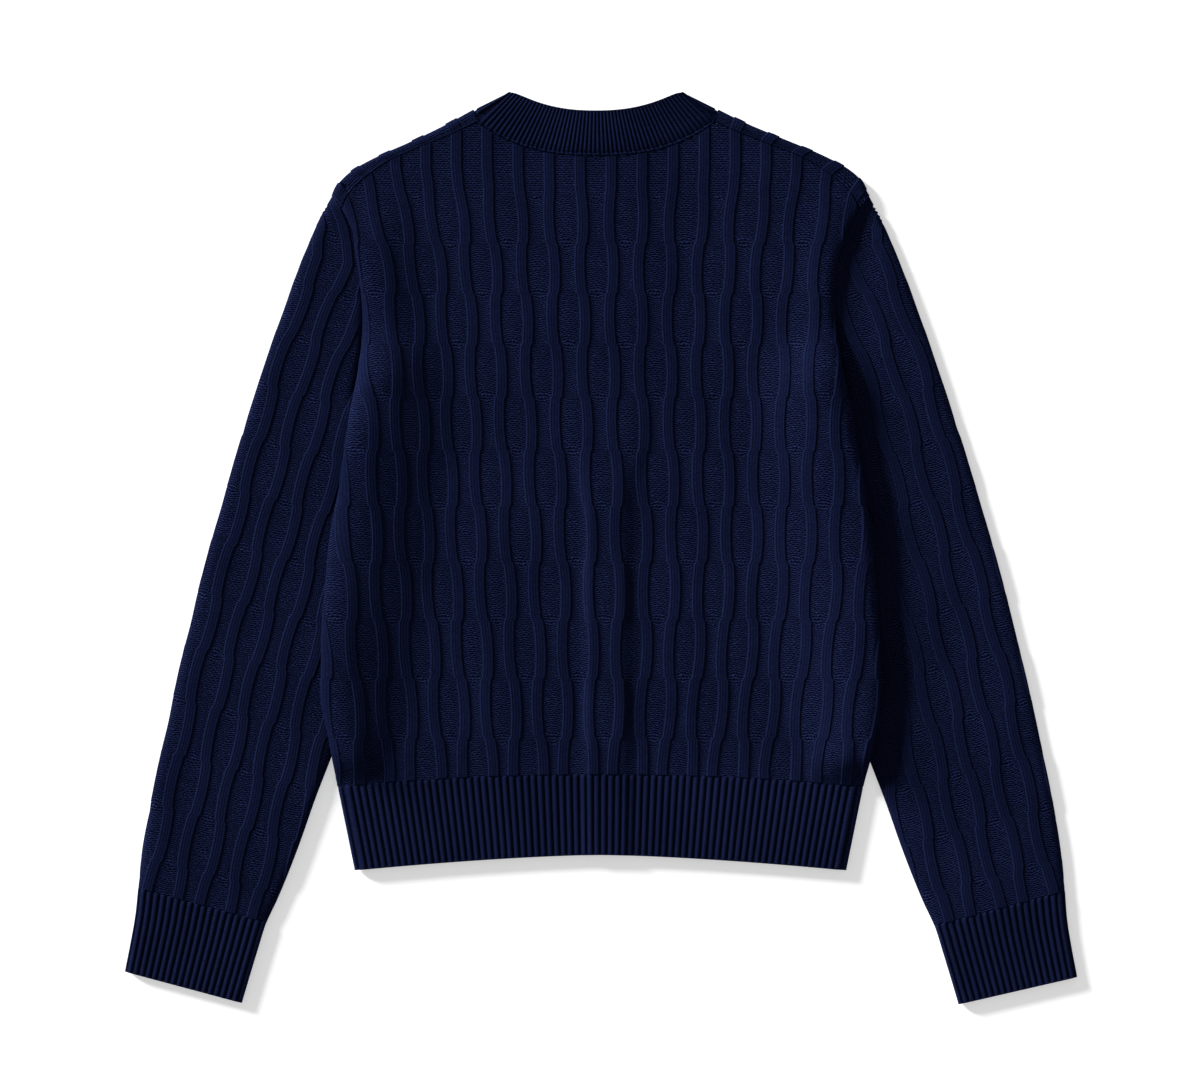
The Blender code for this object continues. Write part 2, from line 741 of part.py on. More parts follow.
def make_front(side, collection, material):
    name = "front_left" if side < 0 else "front_right"
    return cloth_wall(name, front_rows(side, 0.0, True), front_rows(side, WALL, False), collection, material)


# ---- Sleeves and cuffs ----
def sleeve_outer(side, along):
    return sleeve_outer_left(along) if side < 0 else sleeve_outer_right(along)


def sleeve_place(side, along, across):
    """From the sleeve's own line and across it to the garment's X and Y."""
    sine, cosine = math.sin(SLEEVE_ANGLE), math.cos(SLEEVE_ANGLE)
    x = -SLEEVE_ORIGIN[0] - along * sine + across * cosine
    y = SLEEVE_ORIGIN[1] - along * cosine - across * sine
    if side > 0:
        y -= RIGHT_DROP * ease((along - RIGHT_DROP_FROM) / RIGHT_DROP_OVER)
    return -side * x, y


def sleeve_frame(side, x, y):
    sine, cosine = math.sin(SLEEVE_ANGLE), math.cos(SLEEVE_ANGLE)
    dx, dy = -side * x + SLEEVE_ORIGIN[0], y - SLEEVE_ORIGIN[1]
    return -dx * sine - dy * cosine, dx * cosine - dy * sine


MouthRow = namedtuple("MouthRow", "along inner top_turn under_turn closed")


def sleeve_stations(side):
    """Rows of the sleeve beside the body: at the armhole, then along the body's side."""
    rows = []
    beside = [y for y in BACK_ROWS if kink_y(4.0) - 1 < y <= TIP_Y]
    for y in beside:
        along, inner = sleeve_frame(side, edge_x(side, y) + side * SEAM_GAP * 1.8, y)
        z_top = body_roll(side, y, ROLL_TOP, back_turn(y), back_turn(y), 0.0, True)[1]
        z_under = body_roll(side, y, ROLL_UNDER, front_turn(y), front_turn(y), 0.0, False)[1]
        half = SLEEVE_THICK / 2
        closed = y <= ARMPIT_Y
        top = math.acos(min(max((z_top - half) / half, 0.0), 1.0))
        under = math.acos(min(max((half - z_under) / half, 0.0), 1.0))
        if closed:
            top = under = math.pi / 2
        rows.append(MouthRow(along, inner, top, under, closed))
    return rows


def sleeve_rib(number, along):
    fan = CAP_FAN * max(0.0, 1.0 - along / CAP_FAN_LENGTH) ** 1.4
    phase = (SLEEVE_KINK_LAST - along) / SLEEVE_KINK_STEP
    wave = SLEEVE_WAVE * math.sin(math.pi * phase) * (1 if number % 2 == 0 else -1)
    lower = SLEEVE_RIB_SHIFT * ease((along - SLEEVE_SHIFT_FROM) / SLEEVE_SHIFT_OVER)
    return SLEEVE_RIB_CENTRE + SLEEVE_RIB_PITCH * number + fan + wave + lower


def tube_row(side, row, outer_edge, cloth, across, rise_at):
    """One ring of a flattened tube, from its inner fold over the top and back along the floor."""
    half = SLEEVE_THICK / 2
    points = []
    inner_centre = row.inner - SLEEVE_ROLL_INNER * math.sin(row.top_turn)
    under_centre = row.inner - SLEEVE_ROLL_INNER * math.sin(row.under_turn)
    outer_centre = outer_edge + SLEEVE_ROLL_OUTER
    for share in (1.0, 0.66, 0.33):
        angle = row.top_turn * share
        reach = inner_centre + (SLEEVE_ROLL_INNER - cloth) * math.sin(angle)
        points.append((reach, half + (half - cloth) * math.cos(angle)))
    for place in across:
        place = min(max(place, outer_centre), inner_centre)
        points.append((place, SLEEVE_THICK - cloth + rise_at(place)))
    for degrees in (30, 60, 90, 120, 150):
        angle = math.radians(degrees)
        reach = outer_centre - (SLEEVE_ROLL_OUTER - cloth) * math.sin(angle)
        points.append((reach, half + (half - cloth) * math.cos(angle)))
    for share in (0.0, 0.33, 0.66, 1.0):
        points.append((outer_centre + (under_centre - outer_centre) * share, cloth))
    for share in (0.33, 0.66, 1.0):
        angle = row.under_turn * share
        reach = under_centre + (SLEEVE_ROLL_INNER - cloth) * math.sin(angle)
        points.append((reach, half - (half - cloth) * math.cos(angle)))
    ring = []
    for reach, z in points:
        slant = 0.0
        if side > 0 and row.along == CUFF_END:
            slant = CUFF_SLANT_RIGHT * (CUFF_MIDDLE - reach) / CUFF_HALF
        x, y = sleeve_place(side, row.along + slant, reach)
        ring.append((x, y, z))
    if row.closed:
        ring[-1] = ring[0]
    return ring


def sleeve_ring(side, row, cloth, fine):
    outer_edge = sleeve_outer(side, row.along)
    if not fine:
        inner_centre = row.inner - SLEEVE_ROLL_INNER
        outer_centre = outer_edge + SLEEVE_ROLL_OUTER
        shares_across = (1.0, 0.75, 0.5, 0.25, 0.0)
        across = [outer_centre + (inner_centre - outer_centre) * share for share in shares_across]
        return tube_row(side, row, outer_edge, cloth, across, lambda place: 0.0)
    middles = [sleeve_rib(number, row.along) for number in SLEEVE_RIBS]
    across = []
    for middle in middles:
        for offset in (-RIB_FOOT_HALF, -RIB_TOP_HALF, RIB_TOP_HALF, RIB_FOOT_HALF):
            across.append(middle + offset)
    across = sorted(across, reverse=True)
    inner_limit = row.inner - SLEEVE_ROLL_INNER * math.sin(row.top_turn)
    outer_limit = outer_edge + SLEEVE_ROLL_OUTER

    def rise_at(place):
        ends = ease((inner_limit - place) / 2.0) * ease((place - outer_limit) / 2.0)
        return rib_rise(place, middles) * ends

    return tube_row(side, row, outer_edge, cloth, [inner_limit + 1.0] + across + [outer_limit - 1.0], rise_at)


def sleeve_rows(side):
    mouth = sleeve_stations(side)
    last = mouth[-1].along
    quarter = math.pi / 2
    half_waves = [SLEEVE_KINK_LAST - SLEEVE_KINK_STEP / 2 * i for i in range(20)]
    below = []
    for along in sorted(half_waves) + [CUFF_SEAM - SEAM_GAP / 2]:
        if along > last + 8.0:
            below.append(MouthRow(along, sleeve_inner(along), quarter, quarter, True))
    return mouth + below


def make_sleeve(side, collection, material):
    name = "sleeve_left" if side < 0 else "sleeve_right"
    rows = sleeve_rows(side)
    tip_x, tip_y = SHOULDER[-1].fold_x + SEAM_GAP * 1.3, SHOULDER[-1].fold_y
    tip = (side * tip_x, tip_y, FOLD_HALF)
    outer = [sleeve_ring(side, row, 0.0, True) for row in rows]
    outer.insert(0, [tip] * len(outer[0]))
    mouth_count = sum(1 for row in rows if not row.closed) + 1
    inner_rows = []
    for j, row in enumerate(rows):
        if j < mouth_count or j % 2 == mouth_count % 2 or j == len(rows) - 1:
            inner_rows.append(row)
    inner = [sleeve_ring(side, row, WALL, False) for row in inner_rows]
    along, across = sleeve_frame(side, tip[0], tip[1])
    deep_x, deep_y = sleeve_place(side, along + 3.4, across + 0.6)
    inner.insert(0, [(deep_x, deep_y, FOLD_HALF)] * len(inner[0]))
    wall = Wall(name)
    wall.sheet(outer)
    wall.sheet(inner)
    wall.rim(mouth_line(outer, mouth_count), mouth_line(inner, mouth_count))
    wall.rim(outer[-1], inner[-1])
    return wall.build(collection, material)


def mouth_line(rows, count):
    """The open mouth: down the back's side from the armpit to the tip, and back along the front's."""
    down = [rows[j][0] for j in range(count, -1, -1)]
    up = [rows[j][-1] for j in range(0, count + 1)]
    return down + up


def make_cuff(side, collection, material):
    name = "cuff_left" if side < 0 else "cuff_right"
    quarter = math.pi / 2
    alongs = (CUFF_SEAM + SEAM_GAP / 2, (CUFF_SEAM + CUFF_END) / 2, CUFF_END)
    rows = [MouthRow(along, sleeve_inner(along), quarter, quarter, True) for along in alongs]

    def ring(row, cloth, fine):
        outer_edge = sleeve_outer(side, row.along)
        near, far = row.inner - 3.0, outer_edge + 3.0
        count = 2 * CUFF_RIBS if fine else 6
        across = [near + (far - near) * i / count for i in range(count + 1)]
        crest = {round(place, 6): BAND_RIB_RISE * (i % 2) for i, place in enumerate(across)}
        if not fine:
            return tube_row(side, row, outer_edge, cloth, across, lambda place: 0.0)
        return tube_row(side, row, outer_edge, cloth, across, lambda place: crest.get(round(place, 6), 0.0))

    outer = [ring(row, 0.0, True) for row in rows]
    inner = [ring(row, WALL, False) for row in rows]
    wall = Wall(name)
    wall.sheet(outer)
    wall.sheet(inner)
    wall.rim(outer[0], inner[0])
    wall.rim(outer[-1], inner[-1])
    return wall.build(collection, material)


# ---- Hem ribs ----
def hem_y(x_share, down):
    top = HEM_SEAM_Y - HEM_SEAM_DROP * abs(x_share) ** 2.2 - SEAM_GAP
    low = HEM_EDGE_Y - HEM_EDGE_DROP * abs(x_share) ** 1.5
    return top + (low - top) * down


def hem_half(down):
    return HEM_SEAM_HALF + (HEM_EDGE_HALF - HEM_SEAM_HALF) * down


def hem_features(half, roll):
    """Shares of the width where the plain inner side turns or rises."""
    places = [PLACKET_CENTRE + away for away in (-32.0, -27.0, -18.0, 18.0, 27.0, 32.0)]
    places += [side * place for side in (-1, 1) for place in (60.0, 105.0, 150.0)]
    places += [side * (half - roll * share) for side in (-1, 1) for share in (0.0, 0.3, 0.65, 1.0)]
    return sorted(place / half for place in places)


def make_hem_back(collection, material):
    def row(down, cloth, fine):
        points = []
        half = hem_half(down)
        shares_across = hem_features(half, HEM_ROLL)
        if fine:
            shares_across = [-1.0 + i / HEM_RIBS for i in range(2 * HEM_RIBS + 1)]
        count = len(shares_across) - 1
        for i, share in enumerate(shares_across):
            along = half * abs(share)
            side = -1 if share < 0 else 1
            y = hem_y(share, down)
            flat = min(along, half - HEM_ROLL)
            base = top_z(side * flat, max(y, LOW_Y))
            turn = math.pi / 2 * (along - flat) / HEM_ROLL
            middle = base - FOLD_HALF + SEAM_GAP / 2
            reach = flat
            if along > half - HEM_ROLL:
                reach = half - HEM_ROLL + (HEM_ROLL - cloth) * math.sin(turn)
            z = middle + (base - middle - cloth) * math.cos(turn)
            crest = BAND_RIB_RISE * (i % 2) * math.cos(turn) if fine and 0 < i < count else 0.0
            points.append((side * reach, y, z + crest))
        return points

    outer = [row(down, 0.0, True) for down in HEM_STEPS]
    inner = [row(down, WALL, False) for down in HEM_STEPS]
    return cloth_wall("hem_rib_back", outer, inner, collection, material)


def make_hem_front(side, collection, material):
    name = "hem_rib_front_left" if side < 0 else "hem_rib_front_right"

    def row(down, cloth):
        half = hem_half(down)
        begin = side * band_edge(side)
        flat_end = half - ROLL_UNDER
        points = []
        for far in [begin, begin + 7.0, begin + 14.0, 60.0, 95.0, 130.0, 160.0, flat_end]:
            y = hem_y(far / half, down)
            points.append((side * far, y, placket_z(side * far) + cloth))
        for share in (0.35, 0.7, 1.0):
            turn = math.pi / 2 * share
            x = flat_end + (ROLL_UNDER - cloth) * math.sin(turn)
            middle = FOLD_HALF - SEAM_GAP / 2
            points.append((side * x, hem_y(1.0, down), middle - (middle - cloth) * math.cos(turn)))
        return points

    outer = [row(down, 0.0) for down in HEM_STEPS]
    inner = [row(down, WALL) for down in HEM_STEPS]
    return cloth_wall(name, outer, inner, collection, material)


# ---- Neckband ----
def neck_top_y(share):
    return NECK_TOP_Y + NECK_TOP_RISE * abs(share) ** 2.3


def across_band(seam, edge, steps):
    return [tuple(Vector(seam).lerp(Vector(edge), step)) for step in steps]


def neckband_back(share, cloth, rise, steps):
    """Across the band behind the neck, from its seam to its free edge."""
    seam_up = SEAM_GAP * (1.0 + 1.6 * abs(share) * (1.0 - abs(share)))
    seam_at = NECK_SEAM_Y + seam_up + NECK_SEAM_RISE * abs(share) ** 2.6
    seam = Vector((NECK_CENTRE + (NECK_HALF - SEAM_GAP) * share, seam_at))
    edge = Vector((NECK_CENTRE + NECK_TOP_HALF * share, neck_top_y(share)))
    points = []
    for step in steps:
        at = seam.lerp(edge, step)
        points.append((at.x, at.y, top_z(at.x, at.y) - cloth + rise))
    return points


def neckband_fold(side, degrees, cloth, steps):
    """Across the band where it folds to the front, beside the shoulder's fold."""
    x, y, z = shoulder_point(side, 0.0, degrees, cloth)
    seam = (x - side * SEAM_GAP * 1.5, y, z)
    turn = math.radians(degrees)
    reach = (NECKBAND_ROLL - cloth) * math.sin(turn)
    edge = (NECK_CENTRE + side * (NECK_TOP_HALF + 0.5 * reach), neck_top_y(1.0) + 0.87 * reach, z)
    return across_band(seam, edge, steps)


def neckband_front(side, turn, cloth, steps):
    """Across the band along the front neckline."""
    x, y = front_neck_point(turn)
    limit = abs(band_edge(side) - NECK_CENTRE)
    gap = SEAM_GAP * 1.5
    top_y = FRONT_NECK_Y + NECKBAND_FRONT
    edge_y = top_y + (neck_top_y(1.0) - top_y) * (1 - math.sin(turn))
    seam_x_at = NECK_CENTRE + side * max(x - gap * math.cos(turn), limit)
    edge_x_at = NECK_CENTRE + side * max(NECK_TOP_HALF * math.cos(turn), limit)
    seam = (seam_x_at, y + gap * math.sin(turn) + gap / 3, cloth)
    edge = (edge_x_at, edge_y, cloth)
    points = []
    for at in across_band(seam, edge, steps):
        points.append((at[0], at[1], placket_z(at[0]) + cloth))
    return points


def make_neckband(collection, material):
    def sheet(cloth, fine):
        steps = (0.0, 0.5, 1.0) if fine else (0.0, 1.0)
        angles = SHOULDER_ANGLES if fine else SHOULDER_ANGLES[::2]
        count = 2 * NECKBAND_RIBS if fine else 26
        sections = [neckband_front(-1, turn, cloth, steps) for turn in front_neck_turns(-1)]
        sections += [neckband_fold(-1, degrees, cloth, steps) for degrees in angles]
        for i in range(count + 1):
            crest = BAND_RIB_RISE * (i % 2) if fine and 0 < i < count else 0.0
            sections.append(neckband_back(-1.0 + 2.0 * i / count, cloth, crest, steps))
        sections += [neckband_fold(1, degrees, cloth, steps) for degrees in reversed(angles)]
        sections += [neckband_front(1, turn, cloth, steps) for turn in reversed(front_neck_turns(1))]
        return sections

    return cloth_wall("neckband", sheet(0.0, True), sheet(WALL, False), collection, material)


# ---- Button bands and buttons ----
def soften(shell):
    """A small bevel along the edges that lie level."""
    level = [edge for edge in shell.edges if abs(edge.verts[0].co.z - edge.verts[1].co.z) < 1e-6]
    offset = SOFT_EDGE * MM
    bmesh.ops.bevel(shell, geom=level, offset=offset, segments=1, affect="EDGES", profile=0.5, material=-1)


def make_band(name, z, collection, material):
    top_y = FRONT_NECK_Y + NECKBAND_FRONT
    low_y = HEM_EDGE_Y
    left, right = PLACKET_LEFT + SEAM_GAP / 2, PLACKET_RIGHT - SEAM_GAP / 2
    shell = bmesh.new()
    size = Vector((right - left, top_y - low_y, WALL)) * MM
    middle = Vector(((left + right) / 2, (top_y + low_y) / 2, z + WALL / 2)) * MM
    place = Matrix.Translation(middle) @ Matrix.Diagonal((*size, 1.0))
    bmesh.ops.create_cube(shell, size=1.0, matrix=place)
    soften(shell)
    mesh = bpy.data.meshes.new(name)
    shell.to_mesh(mesh)
    shell.free()
    return finish(bpy.data.objects.new(name, mesh), collection, material)


def make_button(number, collection, material):
    name = f"button_{number + 1}"
    shell = bmesh.new()
    y = BUTTON_TOP_Y - BUTTON_STEP * number
    place = Matrix.Translation(Vector((PLACKET_CENTRE, y, BUTTON_THICK / 2)) * MM)
    bmesh.ops.create_cone(
        shell,
        cap_ends=True,
        segments=BUTTON_SIDES,
        radius1=BUTTON_RADIUS * MM,
        radius2=BUTTON_RADIUS * MM,
        depth=BUTTON_THICK * MM,
        matrix=place,
    )
    soften(shell)
    mesh = bpy.data.meshes.new(name)
    shell.to_mesh(mesh)
    shell.free()
    return finish(bpy.data.objects.new(name, mesh), collection, material)


def plain_material(name, colour, roughness):
    material = bpy.data.materials.new(name)
    material.use_nodes = True
    shader = material.node_tree.nodes["Principled BSDF"]
    shader.inputs["Base Color"].default_value = (*colour, 1.0)
    shader.inputs["Roughness"].default_value = roughness
    shader.inputs["Metallic"].default_value = 0.0
    return material


def main():
    for existing in list(bpy.data.objects):
        bpy.data.objects.remove(existing, do_unlink=True)
    collection = bpy.data.collections.new("cardigan")
    bpy.context.scene.collection.children.link(collection)
    make_back(collection, plain_material("back_knit", NAVY, 0.9))
    make_hem_back(collection, plain_material("hem_back_rib", NAVY_DEEP, 0.9))
    for side, word in ((-1, "left"), (1, "right")):
        make_front(side, collection, plain_material(f"front_{word}_knit", NAVY, 0.9))
        make_hem_front(side, collection, plain_material(f"hem_front_{word}_rib", NAVY_DEEP, 0.9))
        make_sleeve(side, collection, plain_material(f"sleeve_{word}_knit", NAVY, 0.9))
        make_cuff(side, collection, plain_material(f"cuff_{word}_rib", NAVY_DEEP, 0.9))
    make_neckband(collection, plain_material("neckband_rib", NAVY_DEEP, 0.9))
    buttonhole_rib = plain_material("band_buttonhole_rib", NAVY_DEEP, 0.9)
    make_band("band_buttonhole", OUTER_BAND_Z, collection, buttonhole_rib)
    make_band("band_button", INNER_BAND_Z, collection, plain_material("band_button_rib", NAVY_DEEP, 0.9))
    for number in range(BUTTON_COUNT):
        make_button(number, collection, plain_material(f"button_{number + 1}_horn", BUTTON_NAVY, 0.35))


main()
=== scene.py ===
# %% [markdown]
# # A knitted cardigan, laid flat with its back on top
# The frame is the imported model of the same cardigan: every panel already has its place, in metres.
# A frame can be dressed by hanging pictures on it or by modelling the cloth itself. Here each panel
# is modelled anew as a thin knitted shell on its solid's form, because the wavy ribs, the hem's
# cords and the soft creases catch the light, and a picture would lie flat when the view changes.

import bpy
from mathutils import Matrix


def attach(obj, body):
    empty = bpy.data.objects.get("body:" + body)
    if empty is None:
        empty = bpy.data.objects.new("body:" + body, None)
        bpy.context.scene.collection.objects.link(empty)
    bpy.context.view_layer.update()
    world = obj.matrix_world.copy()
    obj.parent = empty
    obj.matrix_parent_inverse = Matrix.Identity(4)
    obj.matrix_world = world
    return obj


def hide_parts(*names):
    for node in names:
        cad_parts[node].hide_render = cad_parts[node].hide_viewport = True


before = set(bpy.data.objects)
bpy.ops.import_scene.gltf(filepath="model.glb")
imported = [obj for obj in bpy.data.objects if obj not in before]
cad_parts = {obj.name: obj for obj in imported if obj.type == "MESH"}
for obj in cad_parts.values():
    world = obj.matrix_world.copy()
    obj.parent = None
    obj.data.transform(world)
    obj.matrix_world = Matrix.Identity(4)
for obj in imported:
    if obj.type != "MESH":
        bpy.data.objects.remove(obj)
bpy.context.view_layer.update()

import math
from collections import namedtuple

import bmesh
import bpy
import numpy as np
from mathutils import Matrix, Vector

MM = 0.001

# %% [markdown]
# ## Camera, floor and light
# The garment was seen from straight above. A long lens far away keeps the thin layers from
# spreading towards the edges of the picture, as a short lens near the table would.
# The light is a tall strip low on the left, made of two lamps, with a pale room for fill: low light
# draws every rib as a bright edge and a thin shadow, where light from above would wash them out.

# %% Camera
def placed(name, data):
    """An object in the scene."""
    thing = bpy.data.objects.new(name, data)
    bpy.context.scene.collection.objects.link(thing)
    return thing


SEEN_WIDTH = 924.0
SEEN_CENTRE_X = -0.38
SEEN_CENTRE_Y = 5.78
LENS = 120.0
SENSOR = 36.0

eye = bpy.data.cameras.new("straight_down")
eye.sensor_fit = "HORIZONTAL"
eye.sensor_width = SENSOR
eye.lens = LENS
eye.clip_end = 30.0
camera = placed("straight_down", eye)
camera.location = (SEEN_CENTRE_X * MM, SEEN_CENTRE_Y * MM, SEEN_WIDTH * MM * LENS / SENSOR)
bpy.context.scene.camera = camera
bpy.context.scene.view_settings.view_transform = "Standard"
print("camera height in m:", round(camera.location.z, 3))

# %% Lamp and room
KEY_TOWARDS_NECK = 36.0
ROOM_STRENGTH = 0.25

Lamp = namedtuple("Lamp", "name elevation strength angle")
LAMPS = (Lamp("left_strip_upper", 20.0, 4.3, 10.0), Lamp("left_strip_lower", 10.0, 4.0, 9.0))


def hang(lamp):
    """A far lamp on the left; both together are one tall strip of light."""
    light = bpy.data.lights.new(lamp.name, "SUN")
    light.energy = lamp.strength
    light.angle = math.radians(lamp.angle)
    turn, rise = math.radians(KEY_TOWARDS_NECK), math.radians(lamp.elevation)
    towards = Vector((-math.cos(rise) * math.cos(turn), math.cos(rise) * math.sin(turn), math.sin(rise)))
    placed(lamp.name, light).rotation_euler = towards.to_track_quat("Z", "Y").to_euler()


for lamp in LAMPS:
    hang(lamp)
room = bpy.data.worlds.new("pale_room")
room.use_nodes = True
shine = room.node_tree.nodes["Background"].inputs
shine["Color"].default_value = (1.0, 1.0, 1.0, 1.0)
shine["Strength"].default_value = ROOM_STRENGTH
bpy.context.scene.world = room
print("lamps:", [lamp.name for lamp in LAMPS])

# %% [markdown]
# ## Arithmetic for finishes
# A knitted surface is periodic, so its finish is mostly sines and fractions. Math nodes could be
# placed one by one; a small class that wraps a socket lets a finish be written as a formula.

# %% Sockets that can be added and multiplied
class Yarn:
    """One output of a finish's nodes; arithmetic on it adds Math nodes."""

    def __init__(self, finish, socket):
        self.finish = finish
        self.socket = socket

    def math(self, operation, *values):
        made = self.finish.node("ShaderNodeMath", {"operation": operation}, dict(enumerate(values)))
        return made.out("Value")

    def __add__(self, other):
        return self.math("ADD", self, other)

    def __sub__(self, other):
        return self.math("SUBTRACT", self, other)

    def __rsub__(self, other):
        return self.math("SUBTRACT", other, self)

    def __mul__(self, other):
        return self.math("MULTIPLY", self, other)

    def __truediv__(self, other):
        return self.math("DIVIDE", self, other)

    def __abs__(self):
        return self.math("ABSOLUTE", self)

    __radd__ = __add__
    __rmul__ = __mul__

    def fraction(self):
        return self.math("FRACT", self)

    def floor(self):
        return self.math("FLOOR", self)

    def cosine(self):
        return self.math("COSINE", self)

    def power(self, exponent):
        return self.math("POWER", self, exponent)

    def held(self):
        """Kept between 0 and 1."""
        return self.math("MINIMUM", self.math("MAXIMUM", self, 0.0), 1.0)


class Made:
    """A node that was made, and its outputs as Yarn."""

    def __init__(self, finish, node):
        self.finish = finish
        self.node = node

    def out(self, name):
        return Yarn(self.finish, self.node.outputs[name])


class Finish:
    """A material in the making."""

    def __init__(self, name, **constants):
        self.material = bpy.data.materials.new(name)
        self.material.use_nodes = True
        self.tree = self.material.node_tree
        self.shader = self.tree.nodes["Principled BSDF"]
        self.plug(self.shader.inputs["Metallic"], 0.0)
        for words, value in constants.items():
            self.plug(self.shader.inputs[words.replace("_", " ")], value)

    def plug(self, socket, value):
        if isinstance(value, Yarn):
            self.tree.links.new(value.socket, socket)
        else:
            socket.default_value = value

    def node(self, kind, settings=None, sockets=None):
        node = self.tree.nodes.new(kind)
        for name, value in (settings or {}).items():
            setattr(node, name, value)
        for name, value in (sockets or {}).items():
            self.plug(node.inputs[name], value)
        return Made(self, node)

    def noise(self, place, scale, detail):
        settings = {"Vector": place, "Scale": scale, "Detail": detail}
        return self.node("ShaderNodeTexNoise", None, settings).out("Fac")

    def blended(self, share, first, second):
        """Two colours mixed by a share."""
        sockets = {"Factor": share, 6: (*first, 1.0) if isinstance(first, tuple) else first}
        sockets[7] = (*second, 1.0) if isinstance(second, tuple) else second
        made = self.node("ShaderNodeMix", {"data_type": "RGBA"}, sockets)
        return Yarn(self, made.node.outputs[2])

    def colour(self, value):
        self.plug(self.shader.inputs["Base Color"], value)

    def relief(self, height, depth_mm):
        made = self.node("ShaderNodeBump", None, {"Height": height, "Distance": depth_mm * MM})
        self.plug(self.shader.inputs["Normal"], made.out("Normal"))


print("finish helpers ready")

# %% [markdown]
# ## The floor
# A plain pale board under everything, lit a little from within like a photographer's light table,
# so that it catches only a soft, light shadow.

# %% Floor
FLOOR_HALF = 3.0
FLOOR_DOWN = 0.4

board = bmesh.new()
bmesh.ops.create_grid(board, x_segments=1, y_segments=1, size=FLOOR_HALF)
bmesh.ops.translate(board, verts=board.verts, vec=(0.0, 0.0, -FLOOR_DOWN * MM))
floor_mesh = bpy.data.meshes.new("floor")
board.to_mesh(floor_mesh)
board.free()
floor = placed("floor", floor_mesh)
floor_paint = Finish("pale_board", Roughness=0.9, Specular_IOR_Level=0.0, Emission_Strength=0.45)
floor_paint.shader.inputs["Emission Color"].default_value = (1.0, 1.0, 1.0, 1.0)
floor_paint.colour((0.94, 0.94, 0.94, 1.0))
floor.data.materials.append(floor_paint.material)
print("floor spans", 2 * FLOOR_HALF, "m")

# %% [markdown]
# ## The garment's own measures
# The panels meet along curves: the neck seam, the shoulders, the side edges that roll over the
# sleeves. Each curve could be drawn by eye in the picture; here they are short tables with smooth
# lines through them, nearly all with the solids' numbers, so that every piece stays on its solid.

# %% Smooth lines through tables
WALL = 2.2
SHOWN_WALL = 1.3
SEAM_GAP = 0.3
BODY_THICK = 7.0
UNDER_LIFT = 8.0
TOP_LIFT_LEFT = 9.6
TOP_LIFT_RIGHT = 11.0
SLEEVE_THICK = 6.4
FOLD_HALF = BODY_THICK / 2
ROLL_TOP = 12.0
ROLL_TOP_LEFT = 15.0
ROLL_TOP_RIGHT = 7.0
ROLL_UNDER = 4.0
SHOULDER_ROLL = 5.0
NECKBAND_ROLL = 0.6
SLEEVE_ROLL_OUTER = 7.0
SLEEVE_ROLL_INNER = 6.0


def ease(value):
    """0 below 0, 1 above 1, with soft ends between."""
    t = np.clip(value, 0.0, 1.0)
    return t * t * (3.0 - 2.0 * t)


def at_least(least, value):
    """Like ease, but from a least share up to 1."""
    return least + (1.0 - least) * ease(value)


def smooth_line(places, values):
    """A smooth function through values at places."""
    order = np.argsort(places)
    places, values = np.asarray(places, float)[order], np.asarray(values, float)[order]
    slopes = np.gradient(values, places)

    def value_at(place):
        place = np.clip(place, places[0], places[-1])
        i = np.clip(np.searchsorted(places, place) - 1, 0, len(places) - 2)
        width = places[i + 1] - places[i]
        t = (place - places[i]) / width
        near = (2 * t**3 - 3 * t**2 + 1) * values[i] + (t**3 - 2 * t**2 + t) * width * slopes[i]
        far = (3 * t**2 - 2 * t**3) * values[i + 1] + (t**3 - t**2) * width * slopes[i + 1]
        return near + far

    return value_at


def rows_of(kind, *rows):
    return tuple(kind(*row) for row in rows)


def column(rows, key, name):
    return smooth_line([getattr(row, key) for row in rows], [getattr(row, name) for row in rows])


BodyRow = namedtuple("BodyRow", "y half lean")
BODY = rows_of(
    BodyRow,
    (259.5, 198.5, 0.0), (244.0, 190.5, -0.5), (227.0, 186.5, -2.0), (202.5, 183.0, -2.0),
    (175.5, 181.5, -1.0), (153.0, 183.5, 0.0), (128.5, 187.5, 0.0), (107.0, 192.5, 0.5),
    (78.0, 196.5, 0.5), (48.5, 201.0, 1.0), (13.0, 207.0, 0.0), (-26.0, 211.0, 0.0),
    (-71.0, 214.0, 0.0), (-118.5, 214.0, 0.0), (-148.5, 209.0, 1.0), (-184.6, 202.0, 0.0),
)
LOW_Y = BODY[-1].y
ARMPIT_Y = 175.5
TIP_Y = 259.5

ClimbRow = namedtuple("ClimbRow", "y foot crest")
CLIMB_UNDER = rows_of(
    ClimbRow,
    (175.5, 150.0, 181.0), (128.0, 128.0, 184.0), (90.0, 118.0, 172.0), (51.0, 112.0, 152.0),
    (20.0, 118.0, 152.0), (-41.0, 136.0, 164.0), (-72.0, 146.0, 174.0), (-111.0, 158.0, 186.0),
    (-148.0, 172.0, 204.0), (-184.6, 180.0, 212.0),
)
CLIMB_LEFT = rows_of(
    ClimbRow,
    (175.5, 122.0, 170.0), (128.0, 112.0, 170.0), (90.0, 106.0, 176.0), (51.0, 114.0, 182.0),
    (0.0, 120.0, 190.0), (-50.0, 128.0, 196.0), (-100.0, 138.0, 202.0), (-148.0, 152.0, 206.0),
    (-184.6, 168.0, 212.0),
)
CLIMB_RIGHT = rows_of(
    ClimbRow,
    (175.5, 120.0, 176.0), (112.0, 110.0, 176.0), (51.0, 108.0, 186.0), (-11.0, 114.0, 194.0),
    (-72.0, 122.0, 198.0), (-120.0, 134.0, 200.0), (-184.6, 156.0, 208.0),
)
CLIMB_FULL_Y = 121.0
UNDER_START_Y = 126.0
UNDER_FULL_Y = 60.0
